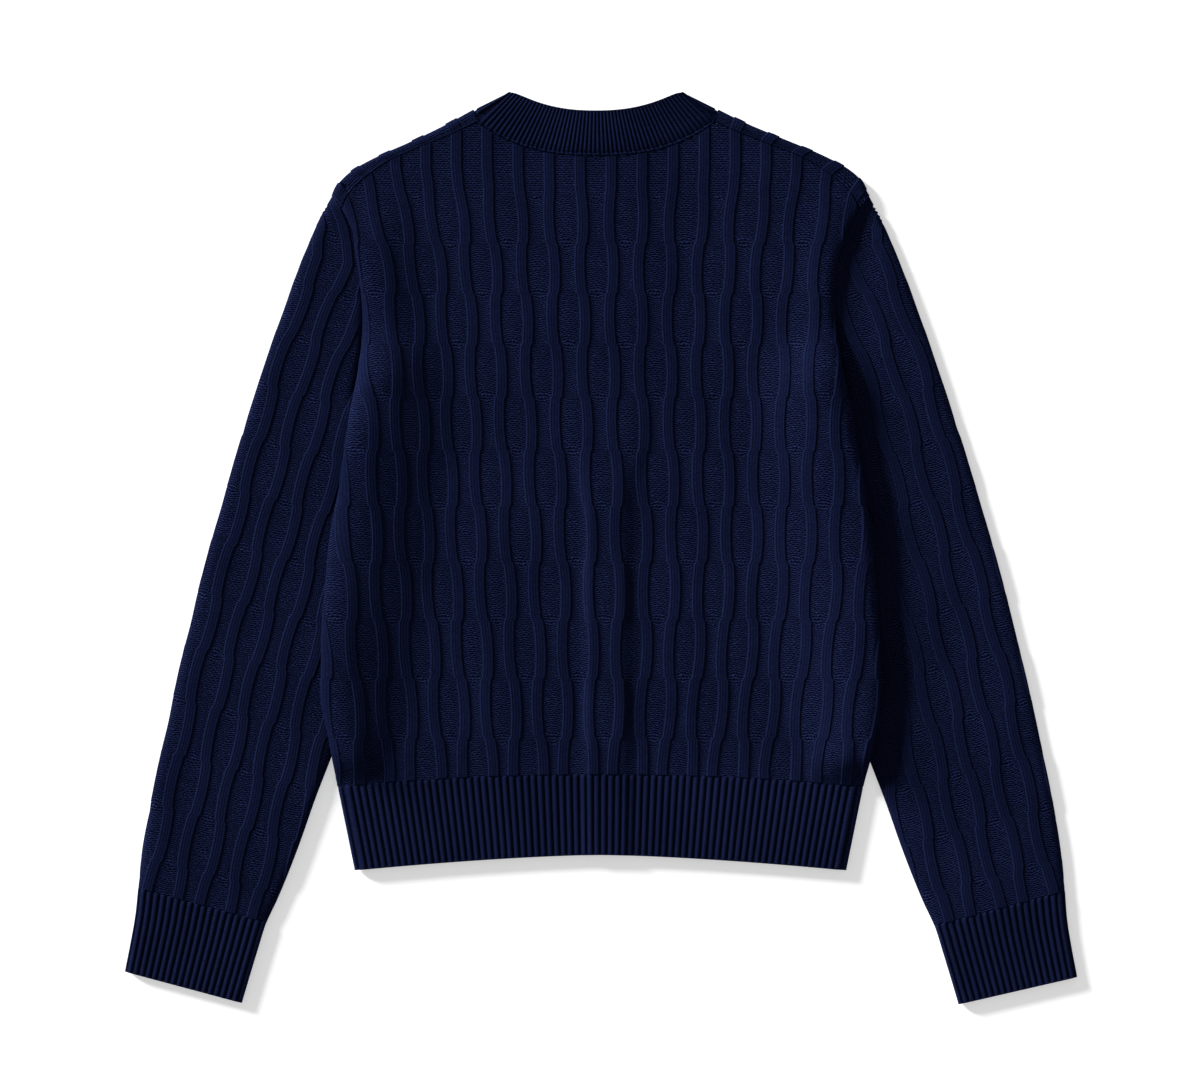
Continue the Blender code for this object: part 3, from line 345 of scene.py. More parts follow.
CLIMB_LAST_Y = -160.0

ShoulderRow = namedtuple("ShoulderRow", "fold_x fold_y seam_x seam_y")
SHOULDER = rows_of(
    ShoulderRow,
    (94.0, 335.2, 91.5, 325.7), (118.0, 322.5, 114.0, 316.0), (144.0, 310.5, 138.0, 306.5),
    (168.0, 300.3, 160.0, 297.0), (188.0, 289.7, 179.0, 284.0), (200.0, 279.5, 193.0, 270.5),
    (207.0, 270.0, 198.5, 259.5),
)
RIGHT_SHOULDER_RISE = 1.8

half_width = column(BODY, "y", "half")
lean = column(BODY, "y", "lean")
climb_lines = {
    name: (column(table, "y", "foot"), column(table, "y", "crest"))
    for name, table in (("under", CLIMB_UNDER), ("left", CLIMB_LEFT), ("right", CLIMB_RIGHT))
}
shoulder_seam_y = column(SHOULDER, "seam_x", "seam_y")
SHOULDER_SHARES = np.linspace(0.0, 1.0, len(SHOULDER))
fold_x, fold_y, seam_x, seam_y = [
    smooth_line(SHOULDER_SHARES, [getattr(row, name) for row in SHOULDER]) for name in ShoulderRow._fields
]
print("body is", 2 * half_width(-100.0), "mm wide at its widest")

# %% Neck, placket and hem
NECK_CENTRE = -3.5
NECK_HALF = 91.5
NECK_SEAM_Y = 300.0
NECK_SEAM_RISE = 25.7
NECK_TOP_Y = 335.0
NECK_TOP_HALF = 65.5
NECK_TOP_RISE = 16.0
FRONT_NECK_Y = 239.0
NECKBAND_FRONT = 32.0
NECKBAND_RIBS = 52
PLACKET_LEFT = -10.0
PLACKET_RIGHT = 20.0
PLACKET_CENTRE = (PLACKET_LEFT + PLACKET_RIGHT) / 2
PLACKET_RISE = 2.8
RIDGE_LOW_Y = -190.0
RIDGE_NECK_Y = 125.0
BUTTON_RADIUS = 7.5
BUTTON_THICK = 2.2
BUTTON_COUNT = 7
BUTTON_TOP_Y = 250.0
BUTTON_STEP = 77.5
OUTER_BAND_Z = BUTTON_THICK + SEAM_GAP
INNER_BAND_Z = OUTER_BAND_Z + WALL + SEAM_GAP
HEM_SEAM_Y = -175.0
HEM_SEAM_DROP = 9.6
HEM_SEAM_HALF = 202.0
HEM_EDGE_Y = -237.0
HEM_EDGE_DROP = 12.0
HEM_EDGE_HALF = 189.0
HEM_RIBS = 74
HEM_ROLL = 8.0


def neck_seam_y(x):
    share = np.clip(np.abs(x - NECK_CENTRE) / NECK_HALF, 0.0, 1.0)
    return NECK_SEAM_Y + NECK_SEAM_RISE * share**2.6


def neck_top_y(share):
    return NECK_TOP_Y + NECK_TOP_RISE * np.abs(share) ** 2.3 - 2.2 * np.abs(share) ** 18


def hem_seam_y(x):
    return HEM_SEAM_Y - HEM_SEAM_DROP * np.clip(np.abs(x) / HEM_SEAM_HALF, 0.0, 1.0) ** 2.2


def shoulder_shift(seam):
    """The shoulders lean with the neck at their inner ends."""
    share = (seam - NECK_HALF) / (SHOULDER[-1].seam_x - NECK_HALF)
    return NECK_CENTRE * (1.0 - np.clip(share, 0.0, 1.0))


def back_limit_y(x):
    """The back's upper boundary: neck seam, then shoulder seam."""
    seam = np.abs(x)
    for _ in range(4):
        seam = np.abs(x - shoulder_shift(seam))
    on_shoulder = shoulder_seam_y(np.maximum(seam, SHOULDER[0].seam_x))
    in_neck = np.abs(x - NECK_CENTRE) < NECK_HALF
    return np.where(in_neck, neck_seam_y(x), on_shoulder) - SEAM_GAP / 2


print("neck opening", 2 * NECK_TOP_HALF, "mm across, hem", 2 * HEM_EDGE_HALF, "mm across")

# %% [markdown]
# ## How the cloth lies
# The body is two layers thick, rises over the placket and climbs over both sleeves near its sides.
# Creases could come from a cloth simulation, but a garment that someone has smoothed out by hand
# keeps only a few long, soft troughs and ridges, and those are quicker and truer placed one by one,
# each with its own run, breadth and depth.

# %% Creases placed one by one
Crease = namedtuple("Crease", "course half_width rise")
BACK_CREASES = (
    Crease(((-182.0, 120.0), (-189.0, 40.0), (-198.0, -40.0), (-202.0, -110.0)), 13.0, 0.9),
    Crease(((-92.0, 45.0), (-84.0, -60.0), (-80.0, -165.0)), 21.0, 1.2),
    Crease(((60.0, 20.0), (66.0, -80.0), (71.0, -165.0)), 15.0, 0.6),
    Crease(((-176.0, 268.0), (-168.0, 200.0), (-164.0, 120.0)), 21.0, 3.6),
    Crease(((180.0, 275.0), (171.0, 200.0), (170.0, 110.0)), 17.0, 4.0),
)


def crease_z(creases, x, y):
    total = np.zeros_like(x + y)
    for crease in creases:
        course = np.array(sorted(crease.course, key=lambda point: point[1]))
        middle = np.interp(y, course[:, 1], course[:, 0])
        ends = ease((course[-1, 1] - y) / 55.0 + 0.3) * ease((y - course[0, 1]) / 45.0 + 0.3)
        total = total + crease.rise * ends * np.exp(-(((x - middle) / crease.half_width) ** 2))
    return total


def edge_x(side, y):
    return lean(y) + side * half_width(y)


def climbing(name, x, y):
    """How far up its climb over the sleeve one layer is, from 0 at the foot to 1 at the crest."""
    foot_line, crest_line = climb_lines[name]
    crest = np.minimum(crest_line(y), half_width(y) - ROLL_TOP - 2.0)
    foot = np.minimum(foot_line(y), crest - 18.0)
    return ease((np.abs(x) - foot) / (crest - foot)) * ease((y - LOW_Y) / (CLIMB_LAST_Y - LOW_Y))


def under_z(x, y):
    """The underside of the fronts: on the floor, and on the sleeves near the sides."""
    return UNDER_LIFT * climbing("under", x, y) * ease((UNDER_START_Y - y) / (UNDER_START_Y - UNDER_FULL_Y))


def placket_z(x):
    """How far the fronts rise to meet the button bands."""
    left = INNER_BAND_Z * ease((x - PLACKET_LEFT + 18.0) / 18.0)
    right = OUTER_BAND_Z * ease((PLACKET_RIGHT + 14.0 - x) / 14.0)
    return np.where(x < PLACKET_CENTRE, left, right)


def top_z(x, y):
    """The upper side of the back, without its ribs."""
    slope = 9.0 + 36.0 * ease((y - 20.0) / 120.0)
    plateau = (PLACKET_RIGHT - PLACKET_LEFT) / 2 - 3.0
    ridge = PLACKET_RISE * ease(1.0 - (np.abs(x - PLACKET_CENTRE) - plateau) / slope)
    ridge = ridge * at_least(0.35, (RIDGE_NECK_Y - y) / 95.0) * at_least(0.45, (y - RIDGE_LOW_Y) / 45.0)
    left, right = TOP_LIFT_LEFT * climbing("left", x, y), TOP_LIFT_RIGHT * climbing("right", x, y)
    climb = np.where(np.asarray(x) < 0, left, right) * ease((ARMPIT_Y - y) / (ARMPIT_Y - CLIMB_FULL_Y))
    return climb + BODY_THICK + ridge + crease_z(BACK_CREASES, x, y)


def back_turn(y):
    """How far round the side roll the back's edge lies."""
    return np.radians(30.0 + 60.0 * ease((TIP_Y - y) / (TIP_Y - ARMPIT_Y)))


def front_turn(y):
    return np.radians(90.0 * ease((TIP_Y - y) / (TIP_Y - ARMPIT_Y)))


def roll_top(side):
    """The back rolls over softly on the left and more tightly on the right."""
    return np.where(np.asarray(side) < 0, ROLL_TOP_LEFT, ROLL_TOP_RIGHT)


def edge_middle(side, y):
    """Height of the side's outermost line, halfway between back and front."""
    flat = side * (np.abs(edge_x(side, y)) - roll_top(side) * np.sin(back_turn(y)))
    return (top_z(flat, y) + under_z(flat, y)) / 2


def roll_start(side, y, radius, turn):
    """Where the flat cloth ends beside a roll, and the roll's length round."""
    flat = np.abs(edge_x(side, y)) - radius * np.sin(turn)
    return flat, np.hypot(radius * np.sin(turn), FOLD_HALF * (1 - np.cos(turn)))


def body_roll(side, y, radius, turn, angle, upper, depth=0.0):
    """A point of the side roll, at an angle from its flat start."""
    flat = np.abs(edge_x(side, y)) - radius * np.sin(turn)
    x = side * (flat + (radius - depth) * np.sin(angle))
    level = top_z(side * flat, y) if upper else under_z(side * flat, y)
    reach = np.abs(edge_middle(side, y) - level) - SEAM_GAP / 2
    towards = 1.0 if upper else -1.0
    return x, level - towards * (reach - (reach - depth) * np.cos(angle))


highest = float(top_z(np.linspace(-180, 180, 200), 30.0).max())
print("highest point of the plain back:", round(highest, 1), "mm")

# %% [markdown]
# ## The wavy ribs
# The fabric is a plain purl ground with narrow raised ribs that lean to and fro, neighbours against
# each other, so that the ground opens and closes like lenses. A bump picture of it would stay flat
# at the edges of the light, so the ribs are real relief: each has a sharp edge with a rolled first
# stitch inside it and a slightly crowned face.

# %% Where the ribs run
RIB_RISE = 0.7
RIB_TOP_HALF = 3.75
RIB_FOOT_HALF = 4.25
KINK_TOP_Y = 270.3
KINK_STEP = 37.0
KINK_GROWTH = 0.477
WAVE_TOP = 1.7
WAVE_HEM = 2.2
RIBS_EACH_SIDE = 11
CROWN_RISE = 0.14
CROWN_HALF = 3.4
BEAD_RISE = 0.14
BEAD_AWAY = 3.5
BEAD_HALF = 0.35

RibRow = namedtuple("RibRow", "y centre pitch squeeze_left squeeze_right")
BODY_RIBS = rows_of(
    RibRow,
    (291.0, -3.9, 23.9, 2.7, 1.2), (214.0, -3.1, 22.5, 7.7, 0.8), (98.6, -0.8, 21.8, 8.5, 2.7),
    (-17.0, 2.7, 21.25, 5.0, 2.8), (-94.0, 3.1, 20.25, 0.8, 0.8), (-171.0, 1.8, 18.95, -4.0, -4.0),
)
rib_centre = column(BODY_RIBS, "y", "centre")
rib_pitch = column(BODY_RIBS, "y", "pitch")
squeeze_left = column(BODY_RIBS, "y", "squeeze_left")
squeeze_right = column(BODY_RIBS, "y", "squeeze_right")


def kink_phase(y):
    """Half waves below the topmost kink row."""
    drop = np.maximum(KINK_TOP_Y - y, 0.0)
    return (np.sqrt(KINK_STEP**2 + 4 * KINK_GROWTH * drop) - KINK_STEP) / (2 * KINK_GROWTH)


def kink_y(phase):
    return KINK_TOP_Y - KINK_STEP * phase - KINK_GROWTH * phase**2


KINK_JOG = 0.34
JOG_SHARE = 0.03


def zigzag(phase):
    """A rib's way to and fro: round bulges, with a small jog where stitches cross at each kink."""
    bulge = np.sin(np.pi * phase)
    jog = np.clip(bulge / math.sin(math.pi * JOG_SHARE), -1.0, 1.0)
    return KINK_JOG * jog + (1.0 - KINK_JOG) * bulge


def body_rib(index, y):
    """Place of one wavy rib round the back; neighbours wave against each other."""
    number = index + 0.5
    wave = WAVE_TOP + (WAVE_HEM - WAVE_TOP) * (KINK_TOP_Y - y) / (KINK_TOP_Y - HEM_SEAM_Y)
    wave = wave * -zigzag(kink_phase(y)) * np.where(index % 2 == 0, 1, -1)
    squeeze = np.where(number < 0, squeeze_left(y), squeeze_right(y))
    squeeze = squeeze * np.minimum(np.abs(number / 7.5) ** 3, 1.2) * np.sign(number)
    return rib_centre(y) + rib_pitch(y) * number - squeeze + wave


def rib_profile(away):
    """Height of the relief at a distance from a rib's middle."""
    face = RIB_RISE * ease((RIB_FOOT_HALF - away) / (RIB_FOOT_HALF - RIB_TOP_HALF))
    crown = CROWN_RISE * np.clip(1.0 - (away / CROWN_HALF) ** 2, 0.0, 1.0)
    bead = BEAD_RISE * np.exp(-(((away - BEAD_AWAY) / BEAD_HALF) ** 2))
    return face + crown + bead


print("kink rows on the back:", int(kink_phase(HEM_SEAM_Y - HEM_SEAM_DROP)) + 1)

# %% [markdown]
# ## From a grid of places to a knitted shell
# Every panel starts as a flat grid from an operator, whose points are then carried to their places
# on the garment, row by row. A subdivided plane with a shrinkwrap would give the same form, but its
# rows wouldn't follow the ribs. The grid's own map of wales and courses travels with it, so the
# stitches follow the cloth round every roll, and Solidify turns the sheet into a real thickness.

# %% Grid to cloth
def sheet_area(piece):
    """Half of the closed shell's surface, in square metres."""
    seen = piece.evaluated_get(bpy.context.evaluated_depsgraph_get()).to_mesh()
    areas = np.zeros(len(seen.polygons))
    seen.polygons.foreach_get("area", areas)
    return areas.sum() / 2


def knitted(name, places, wales, courses, finish, outward, thick=SHOWN_WALL):
    """A thin shell through a grid of places in mm; its foremost face should look outward."""
    rows, across = places.shape[:2]
    shell = bmesh.new()
    bmesh.ops.create_grid(shell, x_segments=across - 1, y_segments=rows - 1, size=1.0)
    mesh = bpy.data.meshes.new(name)
    shell.to_mesh(mesh)
    shell.free()
    spots = np.zeros(len(mesh.vertices) * 3)
    mesh.vertices.foreach_get("co", spots)
    spots = spots.reshape(-1, 3)
    i = np.rint((spots[:, 0] + 1) / 2 * (across - 1)).astype(int)
    j = np.rint((spots[:, 1] + 1) / 2 * (rows - 1)).astype(int)
    mesh.vertices.foreach_set("co", (places[j, i] * MM).ravel())
    corners = np.zeros(len(mesh.loops), dtype=int)
    mesh.loops.foreach_get("vertex_index", corners)
    stitches = mesh.uv_layers.new(name="stitches")
    pairs = np.stack([np.broadcast_to(values, (rows, across))[j, i] for values in (wales, courses)], axis=1)
    stitches.data.foreach_set("uv", pairs[corners].ravel())
    shell = bmesh.new()
    shell.from_mesh(mesh)
    bmesh.ops.remove_doubles(shell, verts=shell.verts, dist=0.03 * MM)
    shell.normal_update()
    look = Vector(outward)
    square_on = [face for face in shell.faces if abs(face.normal.dot(look)) > 0.7]
    foremost = max(square_on, key=lambda face: face.calc_center_median().dot(look))
    if foremost.normal.dot(look) < 0:
        bmesh.ops.reverse_faces(shell, faces=shell.faces)
    for face in shell.faces:
        face.smooth = True
    for edge in shell.edges:
        edge.smooth = not edge.is_boundary
    shell.to_mesh(mesh)
    shell.free()
    mesh.materials.append(finish.material)
    piece = placed(name, mesh)
    wall = piece.modifiers.new("yarn_thickness", "SOLIDIFY")
    wall.thickness = thick * MM
    wall.offset = -1.0
    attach(piece, "root")
    print(f"{name}: {len(mesh.polygons)} faces, cloth {sheet_area(piece):.4f} m2")
    return piece


def dressed(piece, node):
    """Hides the solid that a piece stands for."""
    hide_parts(node)
    return piece


WORDS = {-1: "left", 1: "right"}
print("grids ready")

# %% [markdown]
# ## The knit's finish
# Close up, a rib shows columns of V stitches and the ground between shows the purl side's short
# curved dashes, staggered like bricks. Both are worked out from the map of wales and courses, in the
# relief and in painted light: raised stitches are painted lighter, the hollows between them are painted
# in shade, and thin painted highlights run along each rib's edges. The yarn is dark navy and almost
# without gloss: a normal plastic's reflection would turn it grey.

# %% Knit finish
COURSE = 1.7
RIB_WALES = 10.0
# Lit, plain and shaded copies of the yarn's one navy, for painted light and painted shade.
NAVY_LIT = (0.0135, 0.0195, 0.0640)
NAVY_MID = (0.0056, 0.0084, 0.0300)
NAVY_SHADED = (0.0008, 0.0015, 0.0070)


def knit_finish(name, ground=True, depth=0.55, painted_light_gain=1.0):
    """Wavy-rib fabric; ground=False is for ribbing alone, knit side everywhere."""
    finish = Finish(name, Roughness=0.9, Specular_IOR_Level=0.0)
    stitches = finish.node("ShaderNodeUVMap", {"uv_map": "stitches"}).out("UV")
    parts = finish.node("ShaderNodeSeparateXYZ", None, {"Vector": stitches})
    wale, course = parts.out("X"), parts.out("Y") / COURSE
    from_middle = abs(wale.fraction() - 0.5)
    legs = ((course + from_middle * 1.3) * math.tau).cosine()
    column_crest = (from_middle * math.pi).cosine().power(0.8)
    knit_side = column_crest * (legs * 0.3 + 0.7)
    height = knit_side
    # Painted light: the crests of the stitch columns are painted lighter and the gaps between columns are
    # painted in shade.
    lit = column_crest * (legs * 0.5 + 0.6) * 0.6 + 0.14
    place = finish.node("ShaderNodeTexCoord").out("Object")
    fuzz = finish.noise(place, 560.0, 2.0)
    if ground:
        row = course.floor()
        loose = finish.noise(place, 330.0, 1.0) - 0.5
        brick = ((wale * 0.8 + row * 0.5 + loose * 1.3) * math.tau).cosine() * 0.5 + 0.5
        wander = loose * 0.8 + (fuzz - 0.5) * 0.2
        dash = 0.5 - ((course + brick * 0.2 + wander) * math.tau).cosine() * 0.5
        purl_side = dash * (brick * 0.4 + 0.6)
        in_rib = abs((wale / RIB_WALES + 0.5).fraction() - 0.5) * RIB_WALES
        on_rib = ((2.05 - in_rib) * 5.0).held()
        # Painted highlights: thin lighter lines at each rib's edge stitch and at the stitch just inside it,
        # where light would catch them.
        painted_edge_highlight = (1.0 - abs(in_rib - 1.66) * 5.5).held()
        painted_second_highlight = (1.0 - abs(in_rib - 0.8) * 6.0).held()
        rib_lit = knit_side * 0.3 + painted_edge_highlight * 0.3 + painted_second_highlight * 0.12 + 0.26
        height = (knit_side * 0.3 + 0.5) * on_rib + purl_side * (1 - on_rib)
        # Painted light: raised rib stitches and purl dashes are painted lighter, and the hollows between the
        # dashes are painted in shade.
        lit = rib_lit * on_rib + (purl_side * 1.15 + 0.02) * (1 - on_rib)
    patches = finish.noise(place, 14.0, 3.0)
    # Painted light and shade with random tone from the noise: the share runs the navy from its shaded copy
    # through its plain colour to its lit copy. The gain on the plain and lit copies paints extra light on
    # the ribbing.
    shade = (lit + (fuzz - 0.5) * 0.5 + (patches - 0.5) * 0.3).held()
    low = finish.blended((shade * 2.0).held(), NAVY_SHADED, tuple(value * painted_light_gain for value in NAVY_MID))
    colour = finish.blended((shade * 2.0 - 1.0).held(), low, tuple(value * painted_light_gain for value in NAVY_LIT))
    finish.colour(colour)
    finish.relief(height + fuzz * 0.25, depth)
    return finish


back_knit = knit_finish("back_knit")
print("knit finish nodes:", len(back_knit.tree.nodes))

# %% [markdown]
# ## The back
# The back is one knitted panel from the neck and shoulders to the hem's ribbing. Its columns of
# points follow the ribs, close together at a rib's edges and far apart on the ground, and its rows
# turn at every kink. Points past the seams are held on them, which gives the panel its outline.

# %% Back panel
def mirrored(*half):
    """Columns from one edge of a rib over its middle to the other edge: offset and wale."""
    return tuple((-offset, -wale) for offset, wale in half) + ((0.0, 0.0),) + half[::-1]


RIB_STATIONS = mirrored(
    (5.2, 2.5), (4.45, 2.1), (4.2, 1.98), (3.72, 1.75), (3.45, 1.62), (2.6, 1.2), (1.3, 0.6)
)
GROUND_STATIONS = ((0.45, 3.6), (1.0, 5.0), (1.55, 6.4))
ARC_RISE = 2.1


def arc_swing(phase):
    """How far the purl courses bow: down in open cells and up in narrow ones, most at the kinks."""
    side = np.clip(np.sin(np.pi * phase) / math.sin(math.pi * 0.13), -1.0, 1.0)
    return -side * (0.45 + 0.55 * np.abs(np.cos(np.pi * phase)))


def bow(share, upward):
    """How far a course has bowed at a share of the way to the middle of the ground."""
    return (1 - (1 - share) ** 2) * (1 if upward else -1)


def back_reach(side, y):
    body_y = np.minimum(y, TIP_Y)
    flat, length = roll_start(side, body_y, roll_top(side), back_turn(body_y))
    return flat + length


def held_in(place, y):
    return np.clip(place, -back_reach(-1, y), back_reach(1, y))


def back_point(place, y, rise):
    """The back at a distance round from the middle."""
    side = np.where(place >= 0, 1, -1)
    body_y = np.minimum(y, TIP_Y)
    turn = back_turn(body_y)
    flat, length = roll_start(side, body_y, roll_top(side), turn)
    angle = turn * np.clip((np.abs(place) - flat) / length, 0.0, 1.0)
    x, z = body_roll(side, body_y, roll_top(side), turn, angle, True, -rise)
    on_flat = np.abs(place) <= flat
    x = np.where(on_flat, place, x)
    z = np.where(on_flat, top_z(place, y) + rise, z)
    return np.stack([x, y + 0.0 * x, z], axis=-1)


def rib_stations(first, last):
    """Every column of a ribbed panel: its rib, its offset or its share of the ground, and its wale."""
    stations = []
    for index in range(first, last):
        stations += [(index, offset, None, RIB_WALES * index + wale) for offset, wale in RIB_STATIONS]
        stations += [(index, None, share, RIB_WALES * index + wale) for share, wale in GROUND_STATIONS]
    return stations


def station_places(stations, y):
    """Where the columns are at heights y, and how strongly the courses bow there."""
    places, bows = [], []
    for n, (index, offset, share, wale) in enumerate(stations):
        at = y[:, n] if y.ndim == 2 else y
        here = body_rib(index, at)
        if share is None:
            places.append(here + offset)
            bows.append(0.0 * at)
            continue
        half_gap = (body_rib(index + 1, at) - here) / 2
        edge = RIB_STATIONS[-1][0]
        places.append(here + edge + (half_gap - edge) * share)
        bows.append(bow(share, index % 2 == 0) + 0.0 * at)
    return np.stack(places, axis=-1), np.stack(bows, axis=-1)


def nearest_rib(places, y, first, last):
    return np.min([np.abs(places - body_rib(index, y)) for index in range(first, last)], axis=0)


stations = rib_stations(-RIBS_EACH_SIDE, RIBS_EACH_SIDE)
station_wales = np.array([station[3] for station in stations])
PHASE_STEPS = np.array([0.03, 0.1, 0.21, 0.35, 0.5, 0.65, 0.79, 0.9, 0.97])
ROW_PHASES = np.concatenate([kink + PHASE_STEPS for kink in range(13)])
row_heights = np.concatenate([kink_y(ROW_PHASES), np.linspace(KINK_TOP_Y + 4.5, 326.5, 13)])
row_heights = np.sort(row_heights[row_heights > HEM_SEAM_Y - HEM_SEAM_DROP - 4.0])

tops = np.full(len(stations), NECK_SEAM_Y)
lows = np.full(len(stations), HEM_SEAM_Y)
for _ in range(40):
    at_top, at_low = (held_in(station_places(stations, y[None, :])[0][0], y) for y in (tops, lows))
    tops = 0.6 * tops + 0.4 * back_limit_y(at_top)
    lows = 0.6 * lows + 0.4 * (hem_seam_y(at_low) + SEAM_GAP / 2)

heights = np.clip(row_heights[:, None], lows[None, :], tops[None, :])
places, bows = station_places(stations, heights)
places = held_in(places, heights)
sides = np.where(places >= 0, 1, -1)
relief = rib_profile(nearest_rib(places, heights, -RIBS_EACH_SIDE, RIBS_EACH_SIDE))
relief = relief * ease((back_reach(sides, heights) - np.abs(places)) / 2.5)
arcs = ARC_RISE * bows * arc_swing(kink_phase(heights))
cloth = back_point(places, heights, relief)
back = knitted("back_cloth", cloth, station_wales, heights + arcs, back_knit, (0, 0, 1))
dressed(back, "back")

# %% [markdown]
# ## The sleeves and cuffs
# Each sleeve is a flattened tube under the body's side: over the top, round the outer fold, back
# along the floor and round the inner fold. A spun tube squashed by a lattice would lose the folds'
# own radii, so each ring is drawn as it lies and the ribs are measured out round it.

# %% Sleeve measures
SLEEVE_ANGLE = math.radians(15.0)
SLEEVE_ORIGIN = (173.2, 260.4)
SleeveRow = namedtuple("SleeveRow", "along outer inner outer_right")
SLEEVE = rows_of(
    SleeveRow,
    (0.0, -35.2, -24.0, -35.0), (20.0, -39.4, -14.0, -39.2), (51.6, -44.2, 0.0, -43.9),
    (84.3, -47.4, 13.0, -47.5), (106.2, -49.2, 17.2, -49.3), (143.8, -51.7, 21.4, -51.8),
    (165.8, -52.8, 39.5, -53.1), (198.3, -54.1, 66.0, -54.7), (228.7, -54.7, 77.0, -55.8),
    (260.0, -55.4, 80.5, -56.8), (320.3, -55.5, 80.6, -57.5), (357.3, -54.7, 80.2, -56.9),
    (413.5, -52.6, 77.0, -55.2), (447.4, -50.9, 73.4, -53.3), (492.8, -48.2, 69.8, -50.5),
    (519.7, -46.0, 66.8, -47.9), (535.0, -43.8, 64.6, -45.7), (552.1, -40.8, 61.5, -42.5),
    (573.0, -37.4, 60.5, -38.4), (594.4, -35.5, 59.8, -36.1), (617.0, -34.0, 59.2, -34.4),
)
CUFF_SEAM = 552.1
CUFF_END = 617.0
CUFF_SLANT_RIGHT = 1.6
SLEEVE_RIB_PITCH = 20.8
SLEEVE_RIB_CENTRE = 1.5
SLEEVE_WAVE = 1.8
SLEEVE_KINK_LAST = 528.0
SLEEVE_KINK_STEP = 41.6
RIGHT_DROP = 2.6
CAP_FAN = 15.0
CAP_FAN_LENGTH = 150.0
SEAM_TUCK = 0.8
sleeve_outer_left = column(SLEEVE, "along", "outer")
sleeve_outer_right = column(SLEEVE, "along", "outer_right")
sleeve_inner = column(SLEEVE, "along", "inner")

RingRow = namedtuple("RingRow", "along inner top_turn under_turn")


def sleeve_outer(side, along):
    return sleeve_outer_left(along) if side < 0 else sleeve_outer_right(along)


def sleeve_place(side, along, across):
    """From the sleeve's own line and across it to the garment's X and Y."""
    sine, cosine = math.sin(SLEEVE_ANGLE), math.cos(SLEEVE_ANGLE)
    x = -SLEEVE_ORIGIN[0] - along * sine + across * cosine
    y = SLEEVE_ORIGIN[1] - along * cosine - across * sine
    if side > 0:
        y = y - RIGHT_DROP * ease((along - 150.0) / 250.0)
    return -side * x, y


def sleeve_frame(side, x, y):
    sine, cosine = math.sin(SLEEVE_ANGLE), math.cos(SLEEVE_ANGLE)
    dx, dy = -side * x + SLEEVE_ORIGIN[0], y - SLEEVE_ORIGIN[1]
    return -dx * sine - dy * cosine, dx * cosine - dy * sine


def sleeve_rib(number, along):
    fan = CAP_FAN * np.maximum(0.0, 1.0 - along / CAP_FAN_LENGTH) ** 1.4
    phase = (SLEEVE_KINK_LAST - along) / SLEEVE_KINK_STEP
    wave = SLEEVE_WAVE * zigzag(phase) * (1 if number % 2 == 0 else -1)
    lower = 3.0 * ease((along - 350.0) / 100.0) + 5.5 * ease((along - 400.0) / 170.0)
    return SLEEVE_RIB_CENTRE + SLEEVE_RIB_PITCH * number + fan + wave + lower


def mouth_rows(side, step):
    """Rows beside the body: at the armhole, where the tube is still open towards it."""
    rows = []
    for y in np.arange(TIP_Y, kink_y(4.0) - 1.0, -step):
        tuck = 0.3 + 0.9 * float(ease((y - ARMPIT_Y) / 12.0))
        along, inner = sleeve_frame(side, edge_x(side, y) - side * tuck, y)
        half = SLEEVE_THICK / 2
        top = body_roll(side, y, roll_top(side), back_turn(y), back_turn(y), True)[1] - SEAM_TUCK
        low = body_roll(side, y, ROLL_UNDER, front_turn(y), front_turn(y), False)[1] + SEAM_TUCK
        top_turn = math.acos(min(max((top - half) / half, 0.0), 1.0))
        under_turn = math.acos(min(max((half - low) / half, 0.0), 1.0))
        if y <= ARMPIT_Y:
            top_turn = under_turn = math.pi / 2
        rows.append(RingRow(float(along), float(inner), top_turn, under_turn))
    return rows


print("sleeves are", CUFF_END, "mm long from the shoulder's tip")

# %% Rings of a flattened tube
RING_STEPS = 40
SLEEVE_DIP = 2.6
DIP_REACH = 34.0
DIP_AHEAD = 1.25
DIP_TURN = 78.0
DIP_TURN_OVER = 16.0
DIP_WEAK_SHARE = 0.8
DIP_WEAKEST = 124.0
DIP_WEAK_HALF = 38.0


def edge_across(along):
    """Where the body's right edge lies across the right sleeve."""
    y = ARMPIT_Y - (along - 84.0)
    for _ in range(8):
        y = y + (sleeve_frame(1, edge_x(1, y), y)[0] - along)
    return float(sleeve_frame(1, edge_x(1, y), y)[1])


def give_way(along, reach):
    """How far the right sleeve's top sinks beside the body's edge, in mm."""
    away = edge_across(along) - reach
    below = ease((along - DIP_TURN) / DIP_TURN_OVER)
    beyond = (1.0 - below) * ease(away / 8.0) + below * ease(away / 12.0 + 1.0)
    weaker = 1.0 - DIP_WEAK_SHARE * math.exp(-(((along - DIP_WEAKEST) / DIP_WEAK_HALF) ** 2))
    return SLEEVE_DIP * weaker * ease(DIP_AHEAD - away / DIP_REACH) * beyond


def closed_ring(along):
    return RingRow(along, float(sleeve_inner(along)), math.pi / 2, math.pi / 2)


